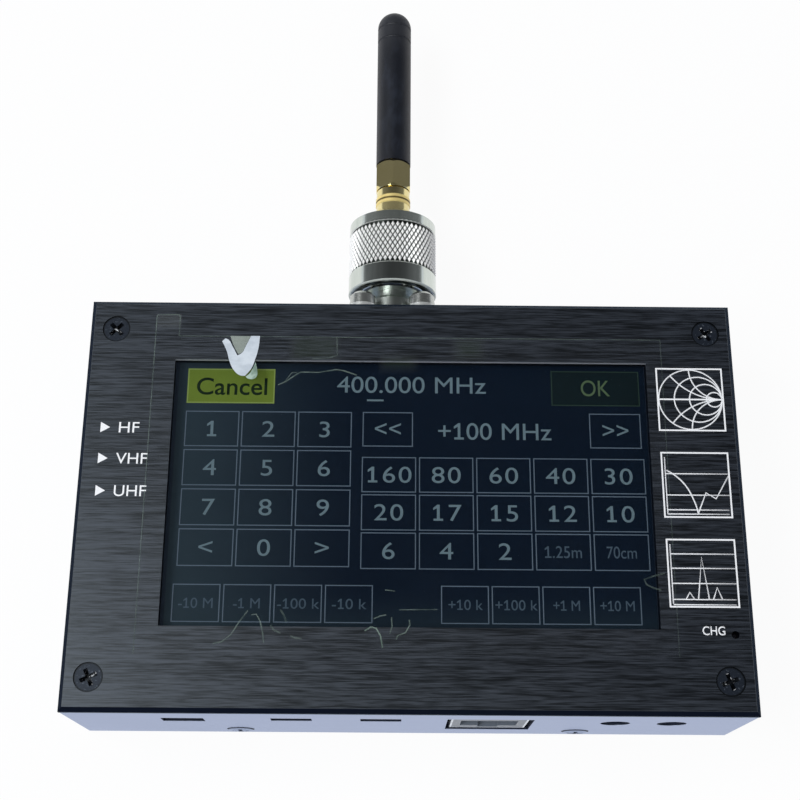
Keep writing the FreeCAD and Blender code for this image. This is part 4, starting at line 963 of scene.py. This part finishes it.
def layFilm():
    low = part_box("protective_film")[0]
    left, right, bottom, top, tab = film["left"], film["right"], low.y / mm, film["top"], film["tab"]
    columns, rows = (round(length / film["cell"]) for length in (right - left, top - bottom))
    deselectAll()
    bpy.ops.mesh.primitive_grid_add(
        x_subdivisions=columns, y_subdivisions=rows, size=1,
        location=((left + right) / 2 * mm, (bottom + top) / 2 * mm, low.z + film["lift"] * mm))
    clear = bpy.context.object
    clear.name = "clearFilm"
    clear.scale = ((right - left) * mm, (top - bottom) * mm, 1)
    placed(clear)
    bpy.ops.object.mode_set(mode="EDIT")
    bpy.ops.mesh.select_mode(type="VERT")
    bpy.ops.mesh.select_all(action="DESELECT")
    bpy.ops.object.mode_set(mode="OBJECT")
    for corner in clear.data.vertices:  # the top edge, as far as the tab is wide
        corner.select = corner.co.y > (top - 0.01) * mm and corner.co.x < (tab["right"] + 0.5) * mm
    rise = (tab["high"] - top) / tab["rows"] * mm
    bpy.ops.object.mode_set(mode="EDIT")
    for _ in range(tab["rows"]):
        bpy.ops.mesh.extrude_region_move(TRANSFORM_OT_translate={"value": (0, rise, 0)})
    bpy.ops.object.mode_set(mode="OBJECT")

    height, fast, slow = film["wave"]
    marks = {name: clear.data.attributes.new(name, "FLOAT", "POINT") for name in ("tint", "tab")}
    for number, corner in enumerate(clear.data.vertices):
        across, along = corner.co.x / mm, corner.co.y / mm
        inside = [min(across - west, east - across, along - south, north - along)
                  for west, east, south, north in film["tints"]]
        marks["tint"].data[number].value = min(max(max(inside) / 2 + 0.5, 0), 1)
        marks["tab"].data[number].value = 1.0 if along > tab["base"] else 0.0
        corner.co.z += height * math.sin(across * fast + 1) * math.sin(along * slow) * mm
    pick(clear)
    solid = clear.modifiers.new("thickness", "SOLIDIFY")
    solid.thickness = film["thick"] * mm
    solid.offset = 1
    bpy.ops.object.modifier_apply(modifier="thickness")
    faceOut(clear)
    bpy.ops.object.shade_smooth_by_angle(angle=math.radians(50))
    dress(clear, "case", filmFinish())
    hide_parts("protective_film")


def cutEdges(bottom):  # the film's cut edges: left with the rounded tab, top, right
    cuts, tab = film["cuts"], film["tab"]
    inset, (start, bend) = cuts["inset"], cuts["corner"]
    west, east = film["left"] + inset, film["right"] - inset
    south, north = bottom + inset, film["top"] - inset
    edge, high = tab["right"] - inset, tab["high"] - inset
    around = [(west, south), (west, high - start), (west + bend, high - bend), (west + start, high),
              (edge - start, high), (edge - bend, high - bend), (edge, high - start), (edge, north)]
    return [(*cuts["left"], around), (*cuts["top"], [(edge, north), (east, north)]),
            (*cuts["right"], [(east, north), (east, south)])]


def creaseFilm():
    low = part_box("protective_film")[0]
    level = low.z / mm + film["creaseLift"]
    upper, thick = level + film["foldLift"], film["foldLift"]
    strokes = [marked(strokeAt(points, level, width), strength)
               for strength, width, points in cutEdges(low.y / mm) + film["creases"]]
    tail, fold, pocket = (marked(patchAt(film[name], upper, thick, True), strength)
                          for name, strength in film["foldStrength"].items())
    dress(joined(strokes + [tail], "filmCreases"), "case", creaseFinish())
    dress(joined([fold, pocket], "filmFoldHighlight"), "case", foldHighlightFinish())


layFilm()
creaseFilm()
print("film laid")


# the knurled coupling nut, turned on the coaxial axis

nut = {  # sizes in mm
    "steps": 108, "rows": 11, "knurl": (4.8, 15.3), "valley": 0.58,
    "thread": 8.2, "sliding": 6.58, "stop": 14.2, "shoulder": 17.7, "end": 6.95,
    "groove": (7.25, 16.4, 17.8), "ease": 0.1,
    "rim": [(0.4, 0), (0.2, 0.05), (0, 0.3)], "bead": [(0, -0.25), (0.1, -0.1)],  # depth, place along
}


def turnedAbout(points, centre, steps):  # points (radius, along) in mm, spun about a line along Y
    profile = bpy.data.curves.new("profile", "CURVE")
    profile.dimensions = "3D"
    line = profile.splines.new("POLY")
    line.points.add(len(points) - 1)
    for knot, (radius, along) in zip(line.points, points):
        knot.co = (centre.x + radius * mm, centre.y + along * mm, centre.z, 1)
    line.use_cyclic_u = True
    pick(added("profile", profile))
    bpy.ops.object.convert(target="MESH")
    body = bpy.context.object
    editAll(body)
    bpy.ops.mesh.spin(steps=steps, angle=2 * math.pi, center=centre, axis=(0, 1, 0))
    faceOut(body)
    return body


def knurledNut():
    centre, radius = nutAxis()
    radius /= mm
    length = (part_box("coupling_nut")[1].y - centre.y) / mm
    start, end = nut["knurl"]
    valley = radius - nut["valley"]
    profile = [(nut["thread"], 0)] + [(radius - depth, along) for depth, along in nut["rim"]]
    profile += [(radius - depth, start + along) for depth, along in nut["bead"]]
    rows = nut["rows"]
    profile += [(valley, start + (end - start) * row / rows) for row in range(rows + 1)]
    sliding, stop = nut["sliding"], nut["stop"]
    groove, front, back = nut["groove"]
    far, ease = nut["end"], nut["ease"]
    profile += [(radius - ease, end + ease * 1.5), (radius - ease, nut["shoulder"]),
                (far, length - ease / 2), (far - ease, length), (sliding, length), (sliding, back),
                (groove, back), (groove, front), (sliding, front), (sliding, stop), (nut["thread"], stop)]
    piece = turnedAbout(profile, centre, nut["steps"])
    piece.name = piece.data.name = "knurledNut"
    pitch = 2 * math.pi / nut["steps"]
    spacing = (end - start) / rows * mm
    for corner in piece.data.vertices:  # every second corner of the band is raised
        side = corner.co - centre
        reach = math.hypot(side.x, side.z)
        row = (side.y - start * mm) / spacing
        if abs(reach - valley * mm) > 0.02 * mm or not 0.5 < row < rows - 0.5:
            continue
        column = round(math.atan2(side.z, side.x) / pitch)
        if (column + round(row)) % 2:
            corner.co.x = centre.x + side.x * radius * mm / reach
            corner.co.z = centre.z + side.z * radius * mm / reach
    editAll(piece)
    bpy.ops.mesh.quads_convert_to_tris(quad_method="SHORTEST_DIAGONAL")
    bpy.ops.object.mode_set(mode="OBJECT")
    bpy.ops.object.shade_smooth_by_angle(angle=math.radians(22))
    dress(piece, "coupling_nut", slotFinish["nickel"])
    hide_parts("coupling_nut")


knurledNut()
print("coupling nut turned")


# floor, light and camera

studio = {  # sizes in metres
    "floor": (238, 240, 246), "paper": 0.985, "wide": 12, "white": 0.94,
    "suns": [  # direction the light comes from, strength, angle; none is seen in gloss
        ((-0.5, -0.35, 1.0), 0.4, 70),
        ((0.7, 0.2, 1.0), 0.27, 80),
        ((-0.1, 1.0, 0.8), 0.32, 80),
        ((0.1, -1.0, 0.7), 0.36, 70),
        ((0.0, 0.0, 1.0), 0.27, 90),
    ],
    "window": {"shape": "RECTANGLE", "size": 0.9, "size_y": 0.4, "color": (0.97, 0.99, 1.0)},
    "windowAt": (-0.62, -0.12, 1.05), "windowPower": 9,
    "tint": (0.96, 0.99, 1.05),
    "room": [  # height of a direction, brightness
        (0.0, 0.88), (0.09, 0.82), (0.16, 0.24), (0.3, 0.15), (0.5, 0.13), (0.8, 0.06), (1.0, 0.04)],
}


def paleFloor():
    deselectAll()
    bpy.ops.mesh.primitive_plane_add(size=studio["wide"], location=(0, 0, 0))
    ground = bpy.context.object
    ground.name = "floor"
    finish = Finish("paleFloor", {"Roughness": 0.85, "IOR": 1.3})
    paper = finish.noise(700, 700, 700, 3)
    dim = tuple(part * studio["paper"] for part in studio["floor"])
    finish.feed("Base Color", finish.mix(paper, shade(*dim), shade(*studio["floor"])))
    camera, gloss, glass = (finish.node("ShaderNodeLightPath", output="Is %s Ray" % kind)
                            for kind in ("Camera", "Glossy", "Transmission"))
    kinds = camera + gloss + glass
    seen = kinds.maths("MINIMUM", kinds, 1.0)
    white = finish.node("ShaderNodeEmission", {}, {"Color": (1, 1, 1, 1), "Strength": 1.0})
    finish.blend(1 - studio["white"] * seen, white)
    ground.data.materials.append(finish.material)


def aimed(name, kind, power, origin, settings):
    lamp = bpy.data.lights.new(name, kind)
    lamp.energy = power
    for key, value in settings.items():
        setattr(lamp, key, value)
    holder = added(name, lamp)
    holder.rotation_mode = "QUATERNION"
    holder.rotation_quaternion = Vector(origin).to_track_quat("Z", "Y")
    return holder


def studioLight():
    for number, (origin, strength, spread) in enumerate(studio["suns"]):
        sun = aimed("sun%d" % number, "SUN", strength, origin, {"angle": math.radians(spread)})
        sun.visible_glossy = False
    place = studio["windowAt"]
    aimed("window", "AREA", studio["windowPower"], place, studio["window"]).location = place


def studioWorld():  # pale walls low down, dim above
    world = bpy.data.worlds.new("room")
    bpy.context.scene.world = world
    room = Finish("room", {"Strength": 1.0}, world)
    where = room.node("ShaderNodeTexCoord", output="Generated")
    height = room.node("ShaderNodeSeparateXYZ", {}, {"Vector": where}, "Z")
    stops = [(position, tuple(level * part for part in studio["tint"]) + (1,))
             for position, level in studio["room"]]
    room.feed("Color", room.node("ShaderNodeValToRGB", {"stops": stops}, {"Fac": height}))


viewFrom = {
    "lens": 62.436, "sensor": 36, "clip": (0.02, 50), "place": (-4.2535, -80.485, 311.59),  # place in mm
    "forward": (0.00638034, 0.3432938, -0.9392064), "up": (-0.0086585, 0.93920927, 0.34323603),
}


def setCamera():
    view = bpy.data.cameras.new("camera")
    view.lens = viewFrom["lens"]
    view.sensor_width = viewFrom["sensor"]
    view.clip_start, view.clip_end = viewFrom["clip"]
    holder = added("camera", view)
    forward, up = Vector(viewFrom["forward"]).normalized(), Vector(viewFrom["up"]).normalized()
    right = forward.cross(up)
    turn = Matrix((right, up, -forward)).transposed().to_4x4()
    holder.matrix_world = Matrix.Translation(Vector(viewFrom["place"]) * mm) @ turn
    bpy.context.scene.camera = holder


paleFloor()
studioLight()
studioWorld()
setCamera()
bpy.context.scene.view_settings.view_transform = "Standard"
